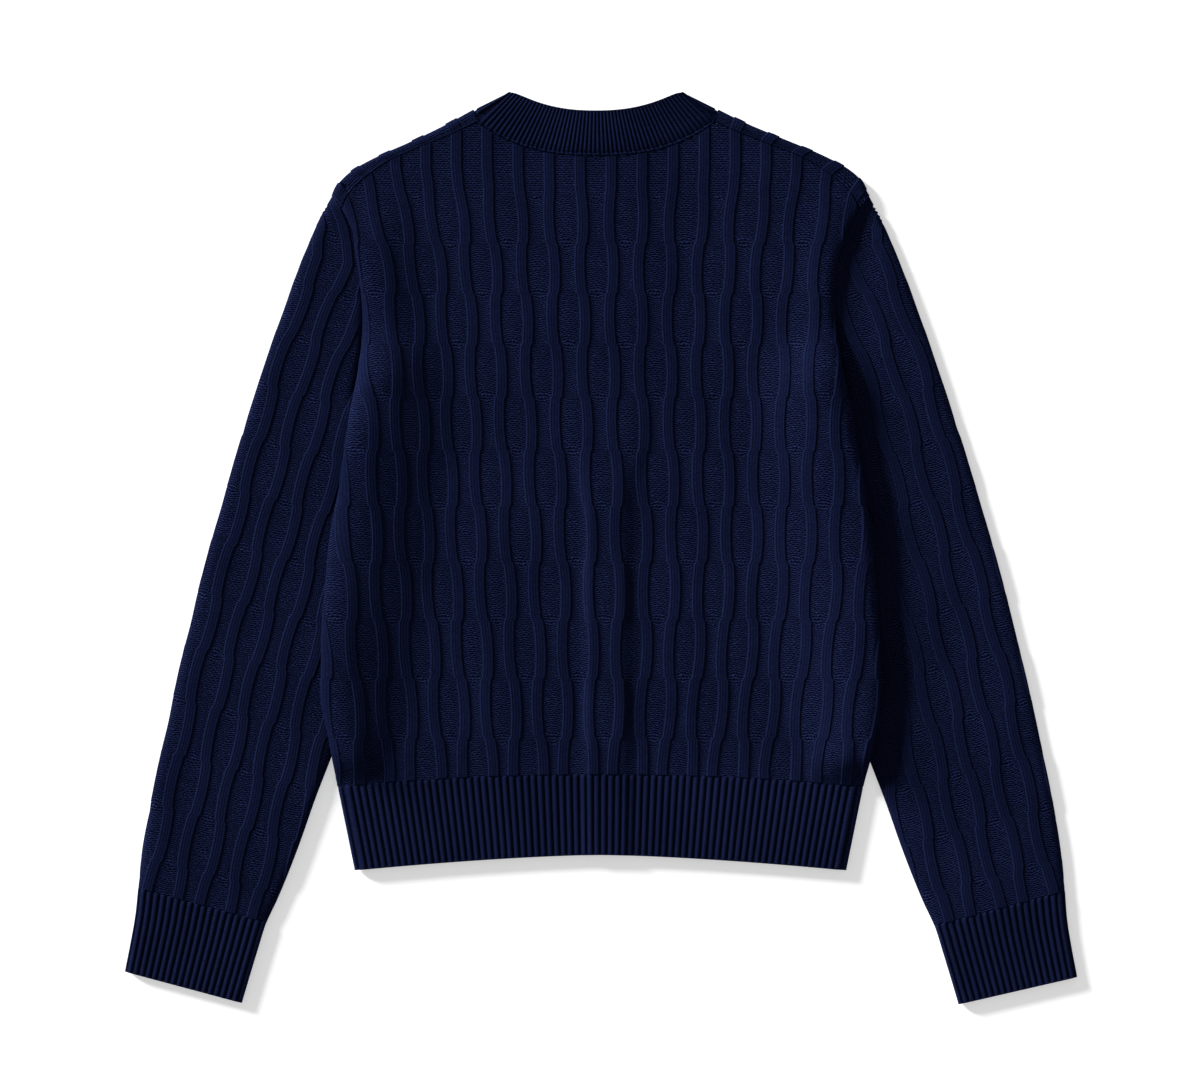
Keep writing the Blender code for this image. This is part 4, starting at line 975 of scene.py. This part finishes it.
def ring_line(side, row, floor_lift):
    """One ring as places across the sleeve and heights, finely drawn, with its lengths round."""
    half = SLEEVE_THICK / 2
    outer = sleeve_outer(side, row.along)
    inner_top = row.inner - SLEEVE_ROLL_INNER * math.sin(row.top_turn)
    inner_low = row.inner - SLEEVE_ROLL_INNER * math.sin(row.under_turn)
    outer_mid = outer + SLEEVE_ROLL_OUTER
    share = np.linspace(0.0, 1.0, RING_STEPS)
    top_angle = row.top_turn * (1 - share)
    reach = [inner_top + SLEEVE_ROLL_INNER * np.sin(top_angle)]
    z = [half + half * np.cos(top_angle)]
    reach.append(inner_top + (outer_mid - inner_top) * share[1:])
    z.append(np.full(RING_STEPS - 1, SLEEVE_THICK))
    angle = math.pi * share[1:]
    reach.append(outer_mid - SLEEVE_ROLL_OUTER * np.sin(angle))
    z.append(half + half * np.cos(angle))
    reach.append(outer_mid + (inner_low - outer_mid) * share[1:])
    z.append(np.zeros(RING_STEPS - 1))
    under = row.under_turn * share[1:]
    reach.append(inner_low + SLEEVE_ROLL_INNER * np.sin(under))
    z.append(half - half * np.cos(under))
    reach, z = np.concatenate(reach), np.concatenate(z)
    if side > 0:
        z = np.where(z > half, z - give_way(row.along, reach) * (z - half) / half, z)
    z = np.maximum(z, floor_lift)
    round_way = np.concatenate([[0.0], np.cumsum(np.hypot(np.diff(reach), np.diff(z)))])
    start = np.interp(0.0, -reach[: 2 * RING_STEPS - 1], round_way[: 2 * RING_STEPS - 1])
    return reach, z, round_way, start


def ring_places(side, row, line, lengths, relief):
    """Points round a ring, relief above the cloth's own height."""
    reach, z, round_way, _ = line
    lengths = np.clip(lengths, 0.0, round_way[-1])
    at, height = np.interp(lengths, round_way, reach), np.interp(lengths, round_way, z)
    step = 0.4
    d_at = np.interp(lengths + step, round_way, reach) - np.interp(lengths - step, round_way, reach)
    d_z = np.interp(lengths + step, round_way, z) - np.interp(lengths - step, round_way, z)
    size = np.maximum(np.hypot(d_at, d_z), 1e-6)
    relief = relief * (0.1 + 0.9 * np.abs(d_at) / size)
    at, height = at + relief * d_z / size, height - relief * d_at / size
    share = min(max((row.along - CUFF_SEAM) / (CUFF_END - CUFF_SEAM), 0.0), 1.0)
    slant = CUFF_SLANT_RIGHT * (15.0 - at) / 45.0 * share if side > 0 else 0.0
    x, y = sleeve_place(side, row.along + slant, at)
    return np.stack([x, y, np.maximum(height, 0.0)], axis=-1)


print("rings are drawn with", 5 * RING_STEPS, "steps")

# %% Sleeves
SLEEVE_FIRST_RIB = -9
SLEEVE_LAST_RIB = 5
FLOOR_LIFT = RIB_RISE


def make_sleeve(side, finish):
    rows = mouth_rows(side, 4.0)
    phases = (kink + step for kink in range(-1, 13) for step in PHASE_STEPS)
    turns = (SLEEVE_KINK_LAST - SLEEVE_KINK_STEP * phase for phase in phases)
    below = sorted(along for along in turns if rows[-1].along + 3.0 < along < CUFF_SEAM - 1.5)
    for along in below + [CUFF_SEAM - SEAM_GAP / 2]:
        rows.append(closed_ring(along))
    tip = (side * (SHOULDER[-1].fold_x - SEAM_TUCK), SHOULDER[-1].fold_y, FOLD_HALF)
    numbers = range(SLEEVE_LAST_RIB, SLEEVE_FIRST_RIB - 1, -1)
    table = []
    for n in numbers:
        table += [(n, -offset, None, RIB_WALES * n - wale) for offset, wale in RIB_STATIONS]
        table += [(n, None, share, RIB_WALES * n - wale) for share, wale in GROUND_STATIONS]
    wales = np.array([entry[3] for entry in table])
    bows = np.array([0.0 if share is None else bow(share, n % 2) for n, _, share, _ in table])
    edge = RIB_STATIONS[-1][0]

    def across_at(entry, along):
        number, offset, share, _ = entry
        rib = sleeve_rib(number, along)
        if share is None:
            return rib + offset
        return rib - edge - ((rib - sleeve_rib(number - 1, along)) / 2 - edge) * share

    grid, courses = [], []
    for row in rows:
        line = ring_line(side, row, FLOOR_LIFT)
        nearby = range(SLEEVE_FIRST_RIB - 1, SLEEVE_LAST_RIB + 2)
        middles = line[3] - np.array([sleeve_rib(n, row.along) for n in nearby])
        lengths = line[3] - np.array([across_at(entry, row.along) for entry in table])
        lengths = np.clip(lengths, 0.0, line[2][-1])
        away = np.abs(lengths[:, None] - middles[None, :]).min(axis=1)
        ends = ease(lengths / 2.5) * ease((line[2][-1] - lengths) / 2.5)
        phase = (SLEEVE_KINK_LAST - row.along) / SLEEVE_KINK_STEP
        grid.append(ring_places(side, row, line, lengths, rib_profile(away) * ends))
        courses.append(-row.along + ARC_RISE * bows * arc_swing(phase))
    grid.insert(0, np.tile(np.array(tip), (len(table), 1)))
    courses.insert(0, courses[0] + 8.0)
    name = f"sleeve_{WORDS[side]}"
    piece = knitted(f"{name}_cloth", np.array(grid), wales, np.array(courses), finish, (0, 0, 1))
    return dressed(piece, name)


sleeve_knit = knit_finish("sleeve_knit")
sleeve_left = make_sleeve(-1, sleeve_knit)
sleeve_right = make_sleeve(1, sleeve_knit)

# %% [markdown]
# ## Ribbing for the edges
# Hem, cuffs and neckband are one-by-one ribbing: round cords with dark gaps between, knitted finer
# than the body so that they draw the edge in. Each cord's section is a flat round, built into the
# grid's columns; a displacement picture would need far more faces for the same crispness.

# %% Cord section
CORD_STATIONS = (-0.5, -0.41, -0.36, -0.24, -0.08, 0.08, 0.24, 0.36, 0.41)
CORD_HALF = 0.42
CORD_RISE = 1.15
CORD_SUNK = 0.6
CORD_TUCK = 0.15


def cord_profile(share, rise=CORD_RISE):
    """Height across one cord, where share runs from -0.5 to 0.5 of the pitch."""
    return rise * np.sqrt(np.clip(1.0 - np.abs(share / CORD_HALF) ** 3, 0.0, 1.0)) - CORD_SUNK


def cord_stations(count):
    """Columns over a number of cords: shares of the whole width, shares of a pitch, and wales."""
    spots = [(k, share) for k in range(count) for share in CORD_STATIONS] + [(count - 1, 0.5)]
    whole = np.array([(k + 0.5 + share) / count for k, share in spots])
    shares = np.array([share for _, share in spots])
    wales = np.array([RIB_WALES * k + 0.5 + 1.25 * share for k, share in spots])
    return whole, shares, wales


def edge_fade(left):
    """Cords end a little before the free edge, where left is the length that remains."""
    return at_least(0.25, left - 0.9)


def edge_line(left):
    """The last course, bound off: a thin bead along the free edge."""
    return 0.45 * np.exp(-(((left - 0.7) / 0.45) ** 2))


def cords(share, start, left, rise=CORD_RISE, tuck=CORD_TUCK, chain=0.0):
    """Relief of the ribbing, from where it starts at a seam to its free edge."""
    relief = cord_profile(share, rise) * start - tuck * (1 - start) + chain
    return relief * edge_fade(left) + edge_line(left)


# The ribbing's navy is painted 15% lighter: painted light that makes up for the shade in the gaps between
# its cords.
edge_rib = knit_finish("edge_rib", ground=False, depth=0.4, painted_light_gain=1.15)
print("a cord has", len(CORD_STATIONS), "columns")

# %% Cuffs
CUFF_CORDS_ROUND = 39
EDGE_STEPS = (0.955, 0.97, 0.98, 0.99, 1.0)
CUFF_STEPS = (0.0, 0.013, 0.019, 0.025, 0.032, 0.06, 0.16, 0.3, 0.45, 0.6, 0.75, 0.88) + EDGE_STEPS


def make_cuff(side, finish):
    whole, shares, wales = cord_stations(CUFF_CORDS_ROUND)
    grid, courses = [], []
    for step in CUFF_STEPS:
        along = CUFF_SEAM - 1.0 + (CUFF_END - CUFF_SEAM + 1.0) * step
        row = closed_ring(along)
        line = ring_line(side, row, CORD_RISE - CORD_SUNK)
        relief = cords(shares, ease((along - CUFF_SEAM) / 1.1), CUFF_END - along)
        grid.append(ring_places(side, row, line, whole * line[2][-1], relief))
        courses.append(np.full(len(whole), -along))
    name = f"cuff_{WORDS[side]}"
    piece = knitted(f"{name}_cloth", np.array(grid), wales, np.array(courses), finish, (0, 0, 1))
    return dressed(piece, name)


cuff_left = make_cuff(-1, edge_rib)
cuff_right = make_cuff(1, edge_rib)

# %% [markdown]
# ## The hem
# The hem's ribbing hangs on the back's last course and leans in towards its edge. It is one grid:
# cords across, a dozen rows down, with both ends rolled under towards the fronts.

# %% Hem of the back
HEM_TUCK = 1.0
HEM_STEPS = (0.0, 0.012, 0.018, 0.024, 0.032, 0.06, 0.14, 0.28, 0.42, 0.56, 0.7, 0.84) + EDGE_STEPS
HEM_DEPTH = HEM_SEAM_Y - HEM_EDGE_Y


def hem_y(share, down):
    top = HEM_SEAM_Y - HEM_SEAM_DROP * np.abs(share) ** 2.2 - SEAM_GAP
    low = HEM_EDGE_Y - HEM_EDGE_DROP * np.abs(share) ** 1.5
    return top + (low - top) * down


def hem_half(down):
    return HEM_SEAM_HALF + (HEM_EDGE_HALF - HEM_SEAM_HALF) * down


def make_hem_back(finish):
    whole, cord, wales = cord_stations(HEM_RIBS)
    shares = 2 * whole - 1
    grid, courses = [], []
    for down in HEM_STEPS:
        half = hem_half(down)
        along = half * np.abs(shares)
        side = np.sign(shares)
        y = hem_y(shares, down) + HEM_TUCK * (1.0 - ease(down * 30.0))
        flat = np.minimum(along, half - HEM_ROLL)
        base = top_z(side * flat, np.maximum(y, LOW_Y))
        turn = math.pi / 2 * (along - flat) / HEM_ROLL
        middle = base - FOLD_HALF + SEAM_GAP / 2
        start = ease((down * HEM_DEPTH - 0.4) / 1.3)
        relief = cords(cord, start, HEM_DEPTH * (1 - down)) * np.cos(turn) ** 0.5
        x = np.where(along <= half - HEM_ROLL, flat, half - HEM_ROLL + (HEM_ROLL + relief) * np.sin(turn))
        z = middle + (base - middle + relief) * np.cos(turn)
        grid.append(np.stack([side * x, y, z], axis=-1))
        courses.append(y)
    grid, courses = np.array(grid)[::-1], np.array(courses)[::-1]
    piece = knitted("hem_back_cloth", grid, wales, courses, finish, (0, 0, 1))
    return dressed(piece, "hem_rib_back")


hem_back = make_hem_back(edge_rib)

# %% [markdown]
# ## The fronts
# The two fronts lie face down under the back, and only their shoulders come into view, where each
# folds over to meet the back's shoulder seam. A front could stop at the fold, but then the shoulder
# would have a seam where the real one has none, so one grid runs from the hem up the underside,
# round the fold and down to the seam, with the same wavy ribs.

# %% Front panels
FRONT_STATIONS = mirrored((4.6, 2.15), (4.2, 1.98), (3.6, 1.7), (2.4, 1.1)) + ((10.4, 5.0),)
FRONT_CREASES = (
    Crease(((70.0, 150.0), (64.0, 30.0), (72.0, -90.0)), 13.0, -0.8),
    Crease(((-84.0, 60.0), (-92.0, -50.0), (-88.0, -150.0)), 15.0, -0.7),
    Crease(((118.0, 210.0), (106.0, 120.0), (112.0, 20.0)), 11.0, -0.6),
)
FOLD_FULL = 1.0
FOLD_DEGREES = range(0, 181, 20)
STRIP_STEPS = ((0.2, 0.0), (0.4, 0.0), (0.6, 0.1), (0.74, 0.35), (0.86, 0.4), (0.96, -0.1), (1.06, -0.9))


def band_edge(side):
    return PLACKET_LEFT - SEAM_GAP / 2 if side < 0 else PLACKET_RIGHT + SEAM_GAP / 2


def front_neck_point(turn):
    """The front neckline from the neck's centre, from the shoulder (0) to the middle (90 degrees)."""
    x = NECK_HALF * np.cos(turn)
    y = FRONT_NECK_Y + (SHOULDER[0].seam_y - 2.0 - FRONT_NECK_Y) * (1 - np.sin(turn))
    return x, y


def shoulder_point(side, share, degrees, depth):
    """On the fold that carries the front over the shoulder: 0 is the underside, 180 the top."""
    at_fold = np.stack([fold_x(share), fold_y(share)], axis=-1)
    at_seam = np.stack([seam_x(share), seam_y(share)], axis=-1)
    out = at_fold - at_seam
    out = out / np.linalg.norm(out, axis=-1, keepdims=True)
    turn = math.radians(degrees)
    if side > 0:
        at_fold[..., 1] += RIGHT_SHOULDER_RISE * ease(share / 0.4) * ease((1.0 - share) / 0.25)
    reach = (SHOULDER_ROLL - depth) * math.sin(turn) - SHOULDER_ROLL
    at = at_fold + out * np.asarray(reach)[..., None]
    x = side * at[..., 0] + shoulder_shift(at_seam[..., 0])
    return x, at[..., 1], FOLD_HALF - (FOLD_HALF - depth) * math.cos(turn)


def front_limit(side, far):
    """The front's upper boundary on the underside: neckline, then just below the shoulder's fold."""
    turns = np.linspace(0.0, math.acos(abs(band_edge(side) - NECK_CENTRE) / NECK_HALF), 60)
    neck_x, neck_y = front_neck_point(turns)
    neck_x = side * (NECK_CENTRE + side * neck_x)
    shares = np.linspace(0.0, 1.0, 60)
    over_x, over_y, _ = shoulder_point(side, shares, 0.0, 0.0)
    xs = np.concatenate([neck_x[::-1][:-1], side * over_x])
    ys = np.concatenate([neck_y[::-1][:-1], over_y])
    order = np.argsort(xs)
    return np.interp(far, xs[order], ys[order])


def front_end(side, y):
    body_y = np.minimum(y, TIP_Y)
    flat, length = roll_start(side, body_y, ROLL_UNDER, front_turn(body_y))
    return flat + length


def front_point(side, far, y, relief):
    """The underside of a front at a distance from the middle; relief is how far the ribs stand down."""
    body_y = np.minimum(y, TIP_Y)
    turn = front_turn(body_y)
    flat, length = roll_start(side, body_y, ROLL_UNDER, turn)
    angle = turn * np.clip((far - flat) / np.maximum(length, 0.1), 0.0, 1.0)
    deep = RIB_RISE - relief
    roll_x, roll_z = body_roll(side, body_y, ROLL_UNDER, turn, angle, False, np.minimum(deep, 1.5))
    lift = np.maximum(under_z(side * far, y), placket_z(side * far)) + deep
    lift = lift - crease_z(FRONT_CREASES, side * far, y)
    on_flat = far <= flat
    x = np.where(on_flat, side * far, roll_x)
    return np.stack([x, y + 0.0 * x, np.where(on_flat, lift, roll_z)], axis=-1)


def rib_columns(first, last, columns):
    """The ribs, offsets and wales of a plainer panel's columns."""
    table = [(n, offset, RIB_WALES * n + wale) for n in range(first, last) for offset, wale in columns]
    return [np.array(values) for values in zip(*table)]


def shoulder_strip(side):
    """The top of the front, from under the shoulder's fold over to the seam behind it."""
    first, last = (-RIBS_EACH_SIDE, -3) if side < 0 else (2, RIBS_EACH_SIDE)
    columns = RIB_STATIONS + ((8.0, 3.7), (11.0, 5.0), (14.0, 6.3))
    ribs, offsets, wales = rib_columns(first, last, columns)
    shares_fine = np.linspace(0.0, 1.0, 300)
    seam_line_x = side * seam_x(shares_fine) + shoulder_shift(seam_x(shares_fine))
    seam_line_y = seam_y(shares_fine)
    share = np.zeros(len(ribs))
    for _ in range(20):
        x = body_rib(ribs, np.interp(share, shares_fine, seam_line_y)) + offsets
        share = np.interp(side * x, side * seam_line_x, shares_fine)
    middles = body_rib(ribs, np.interp(share, shares_fine, seam_line_y))
    away = np.abs(np.interp(share, shares_fine, seam_line_x) - middles)
    relief = np.where(np.abs(offsets) > 7.0, 0.0, rib_profile(away))
    grid, courses = [], []
    for degrees in FOLD_DEGREES:
        full = FOLD_FULL * math.sin(math.radians(degrees)) * ease((1.0 - share) / 0.2)
        raised = relief * ease((1.0 - share) / 0.06) + full
        x, y, z = shoulder_point(side, share, degrees, RIB_RISE * (degrees < 60.0) - raised)
        grid.append(np.stack([x, y, np.maximum(z, 0.0) + 0.0 * x], axis=-1))
        courses.append(SHOULDER_ROLL * math.radians(degrees) + 0.0 * x)
    seam_at_x = side * seam_x(share) + shoulder_shift(seam_x(share))
    start_x, start_y, _ = shoulder_point(side, share, 180.0, 0.0)
    for step, ridge in STRIP_STEPS:
        x = start_x + (seam_at_x - start_x) * step
        y = start_y + (seam_y(share) + 0.2 - start_y) * step
        grid.append(np.stack([x, y, BODY_THICK + relief * (1 - 0.6 * step) + ridge], axis=-1))
        courses.append(SHOULDER_ROLL * math.pi + 5.0 * step + 0.0 * x)
    return np.array(grid), wales, np.array(courses)


def stitch_on(piece, other):
    """Makes a second grid part of the first piece's mesh."""
    both = bmesh.new()
    both.from_mesh(piece.data)
    both.from_mesh(other.data)
    both.to_mesh(piece.data)
    both.free()
    bpy.data.objects.remove(other)


def make_front(side, finish):
    first, last = (-RIBS_EACH_SIDE, 1) if side < 0 else (-1, RIBS_EACH_SIDE)
    ribs, offsets, wales = rib_columns(first, last, FRONT_STATIONS)
    rows = np.concatenate([row_heights[row_heights < 318.0], [322.0, 326.0]])

    def far_at(y):
        far = side * (body_rib(ribs, y) + offsets)
        return np.clip(far, side * band_edge(side), front_end(side, y))

    tops = np.full(len(ribs), TIP_Y)
    lows = np.full(len(ribs), HEM_SEAM_Y)
    for _ in range(60):
        tops = 0.7 * tops + 0.3 * front_limit(side, far_at(tops))
        lows = 0.6 * lows + 0.4 * (hem_seam_y(far_at(lows)) + SEAM_GAP / 2)
    grid, courses = [], []
    for row in rows:
        y = np.clip(row, lows, tops)
        far = far_at(y)
        away = nearest_rib(side * far, y, first - 1, last + 1)
        ends = ease((front_end(side, y) - far) / 3.0) * ease((far - side * band_edge(side)) / 2.0)
        grid.append(front_point(side, far, y, rib_profile(away) * ends))
        courses.append(y)
    strip, strip_wales, strip_courses = shoulder_strip(side)
    name = f"front_{WORDS[side]}"
    piece = knitted(f"{name}_cloth", np.array(grid), wales, np.array(courses), finish, (0, 0, -1))
    over = knitted(f"shoulder_{WORDS[side]}_cloth", strip, strip_wales, strip_courses, finish, (0, 0, 1))
    stitch_on(piece, over)
    return dressed(piece, name)


front_knit = knit_finish("front_knit")
front_left = make_front(-1, front_knit)
front_right = make_front(1, front_knit)

# %% Hems of the fronts
FRONT_HEM_CORDS = 33
FRONT_CORD_RISE = 1.2


def make_hem_front(side, finish):
    whole, cord, wales = cord_stations(FRONT_HEM_CORDS)
    grid, courses = [], []
    begin = side * band_edge(side)
    round_way = ROLL_UNDER * 1.3
    for down in HEM_STEPS[::-1]:
        half = hem_half(down)
        flat_end = half - ROLL_UNDER
        far = begin + (flat_end + round_way - begin) * whole
        turn = math.pi / 2 * np.clip((far - flat_end) / round_way, 0.0, 1.0)
        start = ease(down * HEM_DEPTH / 3.0)
        relief = (cord_profile(cord, FRONT_CORD_RISE) + CORD_SUNK) * start * np.cos(turn) ** 0.5
        sunk = FRONT_CORD_RISE - relief
        y = hem_y(np.minimum(far, half) / half, down)
        middle = FOLD_HALF - SEAM_GAP / 2
        rolled = flat_end + (ROLL_UNDER - np.minimum(sunk, FRONT_CORD_RISE)) * np.sin(turn)
        x = np.where(far <= flat_end, far, rolled)
        up = middle - (middle - sunk) * np.cos(turn)
        z = np.where(far <= flat_end, placket_z(side * far) + sunk, up)
        grid.append(np.stack([side * x, y, z], axis=-1))
        courses.append(y)
    name = f"hem_front_{WORDS[side]}"
    piece = knitted(f"{name}_cloth", np.array(grid), wales, np.array(courses), finish, (0, 0, -1))
    return dressed(piece, f"hem_rib_front_{WORDS[side]}")


hem_front_left = make_hem_front(-1, edge_rib)
hem_front_right = make_hem_front(1, edge_rib)

# %% [markdown]
# ## The neckband
# A band of the same ribbing stands on the neck's seam: behind the neck it fans out, at each
# shoulder it folds over to the front, and there it follows the lower front neckline. Its sections
# run across the band, so that the cords turn with the curve as the knitted ones do.

# %% Neckband
SEAM_STEPS = (0.0, 0.024, 0.038, 0.052, 0.066, 0.08, 0.1, 0.13)
BAND_STEPS = np.array(SEAM_STEPS + (0.3, 0.45, 0.6, 0.75, 0.88, 0.95, 0.97, 0.985, 1.0))
BAND_DEPTH = 35.0
CHAIN_RISE = 1.9
CHAIN_UP = 1.85
CHAIN_HALF = 0.75
CHAIN_LINKS = 1.5
NECK_CORD_RISE = 0.95
FOLD_CORDS = 4
FRONT_NECK_CORDS = 22
NECKBAND_PARTS = (
    ("front", -1, FRONT_NECK_CORDS, 0.0),
    ("fold", -1, FOLD_CORDS, 300.0),
    ("behind", 0, NECKBAND_RIBS, 400.0),
    ("fold", 1, FOLD_CORDS, 1000.0),
    ("front", 1, FRONT_NECK_CORDS, 1100.0),
)


def neckband_back(share, relief):
    """Across the band behind the neck, from its seam to its free edge."""
    seam_x_here = NECK_CENTRE + (NECK_HALF + 0.4) * share
    seam = np.array([seam_x_here, NECK_SEAM_Y - SEAM_TUCK + NECK_SEAM_RISE * abs(share) ** 2.6])
    edge = np.array([NECK_CENTRE + NECK_TOP_HALF * share, neck_top_y(share)])
    at = seam + (edge - seam) * BAND_STEPS[:, None]
    return np.column_stack([at, top_z(at[:, 0], at[:, 1]) + relief])


def neckband_fold(side, degrees, relief):
    """Across the band where it folds to the front, beside the shoulder's fold."""
    x, y, z = shoulder_point(side, np.array(0.0), degrees, 0.0)
    turn = math.radians(degrees)
    reach = NECKBAND_ROLL * math.sin(turn)
    seam = np.array([float(x) + side * SEAM_TUCK, float(y)])
    out_x = NECK_CENTRE + side * (NECK_TOP_HALF + 0.5 * reach)
    out_y = neck_top_y(1.0) + 0.87 * reach
    at_x = seam[0] + (out_x - seam[0]) * BAND_STEPS + side * 0.5 * relief * math.sin(turn)
    at_y = seam[1] + (out_y - seam[1]) * BAND_STEPS + 0.87 * relief * math.sin(turn)
    height = float(z) - relief * math.cos(turn)
    return np.column_stack([at_x, at_y, np.maximum(height, 0.0)])


def neckband_front(side, turn, relief):
    """Across the band along the front neckline."""
    x, y = front_neck_point(turn)
    limit = abs(band_edge(side) - NECK_CENTRE)
    top_y = FRONT_NECK_Y + NECKBAND_FRONT
    edge_y = top_y + (neck_top_y(1.0) - top_y) * (1 - math.sin(turn))
    seam_x_here = NECK_CENTRE + side * max(x + SEAM_TUCK * math.cos(turn), limit)
    seam = np.array([seam_x_here, y - SEAM_TUCK * math.sin(turn) - SEAM_TUCK / 3])
    edge = np.array([NECK_CENTRE + side * max(NECK_TOP_HALF * math.cos(turn), limit), edge_y])
    at = seam + (edge - seam) * BAND_STEPS[:, None]
    height = placket_z(at[:, 0]) + NECK_CORD_RISE - CORD_SUNK - relief
    return np.column_stack([at, np.maximum(height, 0.0)])


def neckband_section(part, side, share, relief):
    """Across the band, at a share of one part's way from left to right."""
    if part == "behind":
        return neckband_back(2 * share - 1, relief)
    falling, rising = (share, 1 - share) if side < 0 else (1 - share, share)
    if part == "fold":
        return neckband_fold(side, 180.0 * falling, relief)
    limit = math.acos(abs(band_edge(side) - NECK_CENTRE) / NECK_HALF)
    return neckband_front(side, limit * rising, relief)


def make_neckband(finish):
    up = BAND_STEPS * BAND_DEPTH
    start = ease((up - 2.7) / 1.6)
    crest = CHAIN_RISE * np.exp(-(((up - CHAIN_UP) / CHAIN_HALF) ** 2))
    sections, wales = [], []
    for part, side, count, first_wale in NECKBAND_PARTS:
        for share, across, wale in zip(*cord_stations(count)):
            link = 0.7 + 0.3 * math.cos(math.tau * (wale / RIB_WALES * CHAIN_LINKS))
            chain = crest * link * (part == "behind")
            relief = cords(across, start, BAND_DEPTH - up, NECK_CORD_RISE, SEAM_TUCK, chain)
            sections.append(neckband_section(part, side, share, relief))
            wales.append(first_wale + wale)
    grid = np.array(sections).transpose(1, 0, 2)
    courses = (BAND_STEPS * 36.0)[:, None]
    piece = knitted("neckband_cloth", grid, np.array(wales), courses, finish, (0, 0, 1))
    return dressed(piece, "neckband")


neckband = make_neckband(edge_rib)

# %% [markdown]
# ## Button bands and buttons
# Under the back the two bands lie on each other, with seven buttons beneath. They are hidden from
# above, but the back rises over them. Bands are ribbed strips, buttons small turned discs.

# %% Bands
BAND_CORDS = 6
BAND_ROWS = 60
BAND_SHOWN = 1.2


def make_band(name, z, finish):
    whole, cord, wales = cord_stations(BAND_CORDS)
    left, right = PLACKET_LEFT + SEAM_GAP / 2, PLACKET_RIGHT - SEAM_GAP / 2
    x = left + (right - left) * whole
    y = np.linspace(FRONT_NECK_Y + NECKBAND_FRONT, HEM_EDGE_Y, BAND_ROWS)
    depth = 0.8 - (cord_profile(cord, FRONT_CORD_RISE) + CORD_SUNK) * 0.66
    grid = np.stack(np.broadcast_arrays(x, y[:, None], z + depth), axis=-1)
    piece = knitted(f"{name}_cloth", grid, wales, y[:, None], finish, (0, 0, -1), thick=BAND_SHOWN)
    return dressed(piece, name)


band_under = make_band("band_buttonhole", OUTER_BAND_Z, edge_rib)
band_over = make_band("band_button", INNER_BAND_Z, edge_rib)

# %% Buttons
BUTTON_RIM = 1.6
BUTTON_DISH = 0.5
HOLE_AWAY = 1.7
HOLE_RADIUS = 0.75
BUTTON_MID = (0.010, 0.013, 0.030)
BUTTON_STREAK = (0.030, 0.036, 0.060)


def button_finish():
    """Dark horn with streaks, and four holes bumped in and painted near-black as shade, on the buttons' own
    even spacing.
    """
    finish = Finish("button_horn", Roughness=0.32, Specular_IOR_Level=0.4)
    place = finish.node("ShaderNodeTexCoord").out("Object")
    parts = finish.node("ShaderNodeSeparateXYZ", None, {"Vector": place})
    x = (parts.out("X") - PLACKET_CENTRE * MM) / MM
    y = ((parts.out("Y") / MM - BUTTON_TOP_Y) / BUTTON_STEP + 0.5).fraction() * BUTTON_STEP - BUTTON_STEP / 2
    away_x, away_y = abs(abs(x) - HOLE_AWAY), abs(abs(y) - HOLE_AWAY)
    away = (away_x.power(2.0) + away_y.power(2.0)).power(0.5)
    hole = ((HOLE_RADIUS + 0.15 - away) * 6.0).held()
    streaks = finish.noise(place, 260.0, 4.0)
    body = finish.blended(((streaks - 0.4) * 3.0).held(), BUTTON_MID, BUTTON_STREAK)
    # Painted shade: the holes are only a bump, and their near-black colour stands for the shade inside them.
    finish.colour(finish.blended(hole, body, (0.0015, 0.002, 0.005)))
    finish.relief(streaks * 0.1 - hole, 0.6)
    return finish


def make_button(number, finish):
    y = BUTTON_TOP_Y - BUTTON_STEP * number
    disc = bmesh.new()
    bmesh.ops.create_cone(
        disc,
        cap_ends=True,
        segments=40,
        radius1=BUTTON_RADIUS * MM,
        radius2=BUTTON_RADIUS * MM,
        depth=BUTTON_THICK * MM,
        matrix=Matrix.Translation(Vector((PLACKET_CENTRE, y, BUTTON_THICK / 2)) * MM),
    )
    under = [face for face in disc.faces if face.normal.z < -0.9]
    bmesh.ops.inset_region(disc, faces=under, thickness=BUTTON_RIM * MM, depth=0.0)
    dish = [face for face in disc.faces if face.normal.z < -0.9 and len(face.verts) > 4]
    bmesh.ops.inset_region(disc, faces=dish, thickness=0.5 * MM, depth=-BUTTON_DISH * MM)
    rims = [edge for edge in disc.edges if edge.calc_face_angle(0.0) > 1.2]
    bmesh.ops.bevel(disc, geom=rims, offset=0.45 * MM, segments=3, affect="EDGES", profile=0.5, material=-1)
    mesh = bpy.data.meshes.new(f"button_{number + 1}_disc")
    disc.to_mesh(mesh)
    disc.free()
    mesh.shade_smooth()
    mesh.materials.append(finish.material)
    piece = placed(f"button_{number + 1}_disc", mesh)
    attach(piece, "root")
    return dressed(piece, f"button_{number + 1}")


horn = button_finish()
buttons = [make_button(number, horn) for number in range(BUTTON_COUNT)]
print("buttons:", len(buttons), "of", len(buttons[0].data.polygons), "faces")

# %% [markdown]
# ## The end
# All pieces are made; each printed the area of its cloth as it was made.

# %% Sheets
print("all pieces made")
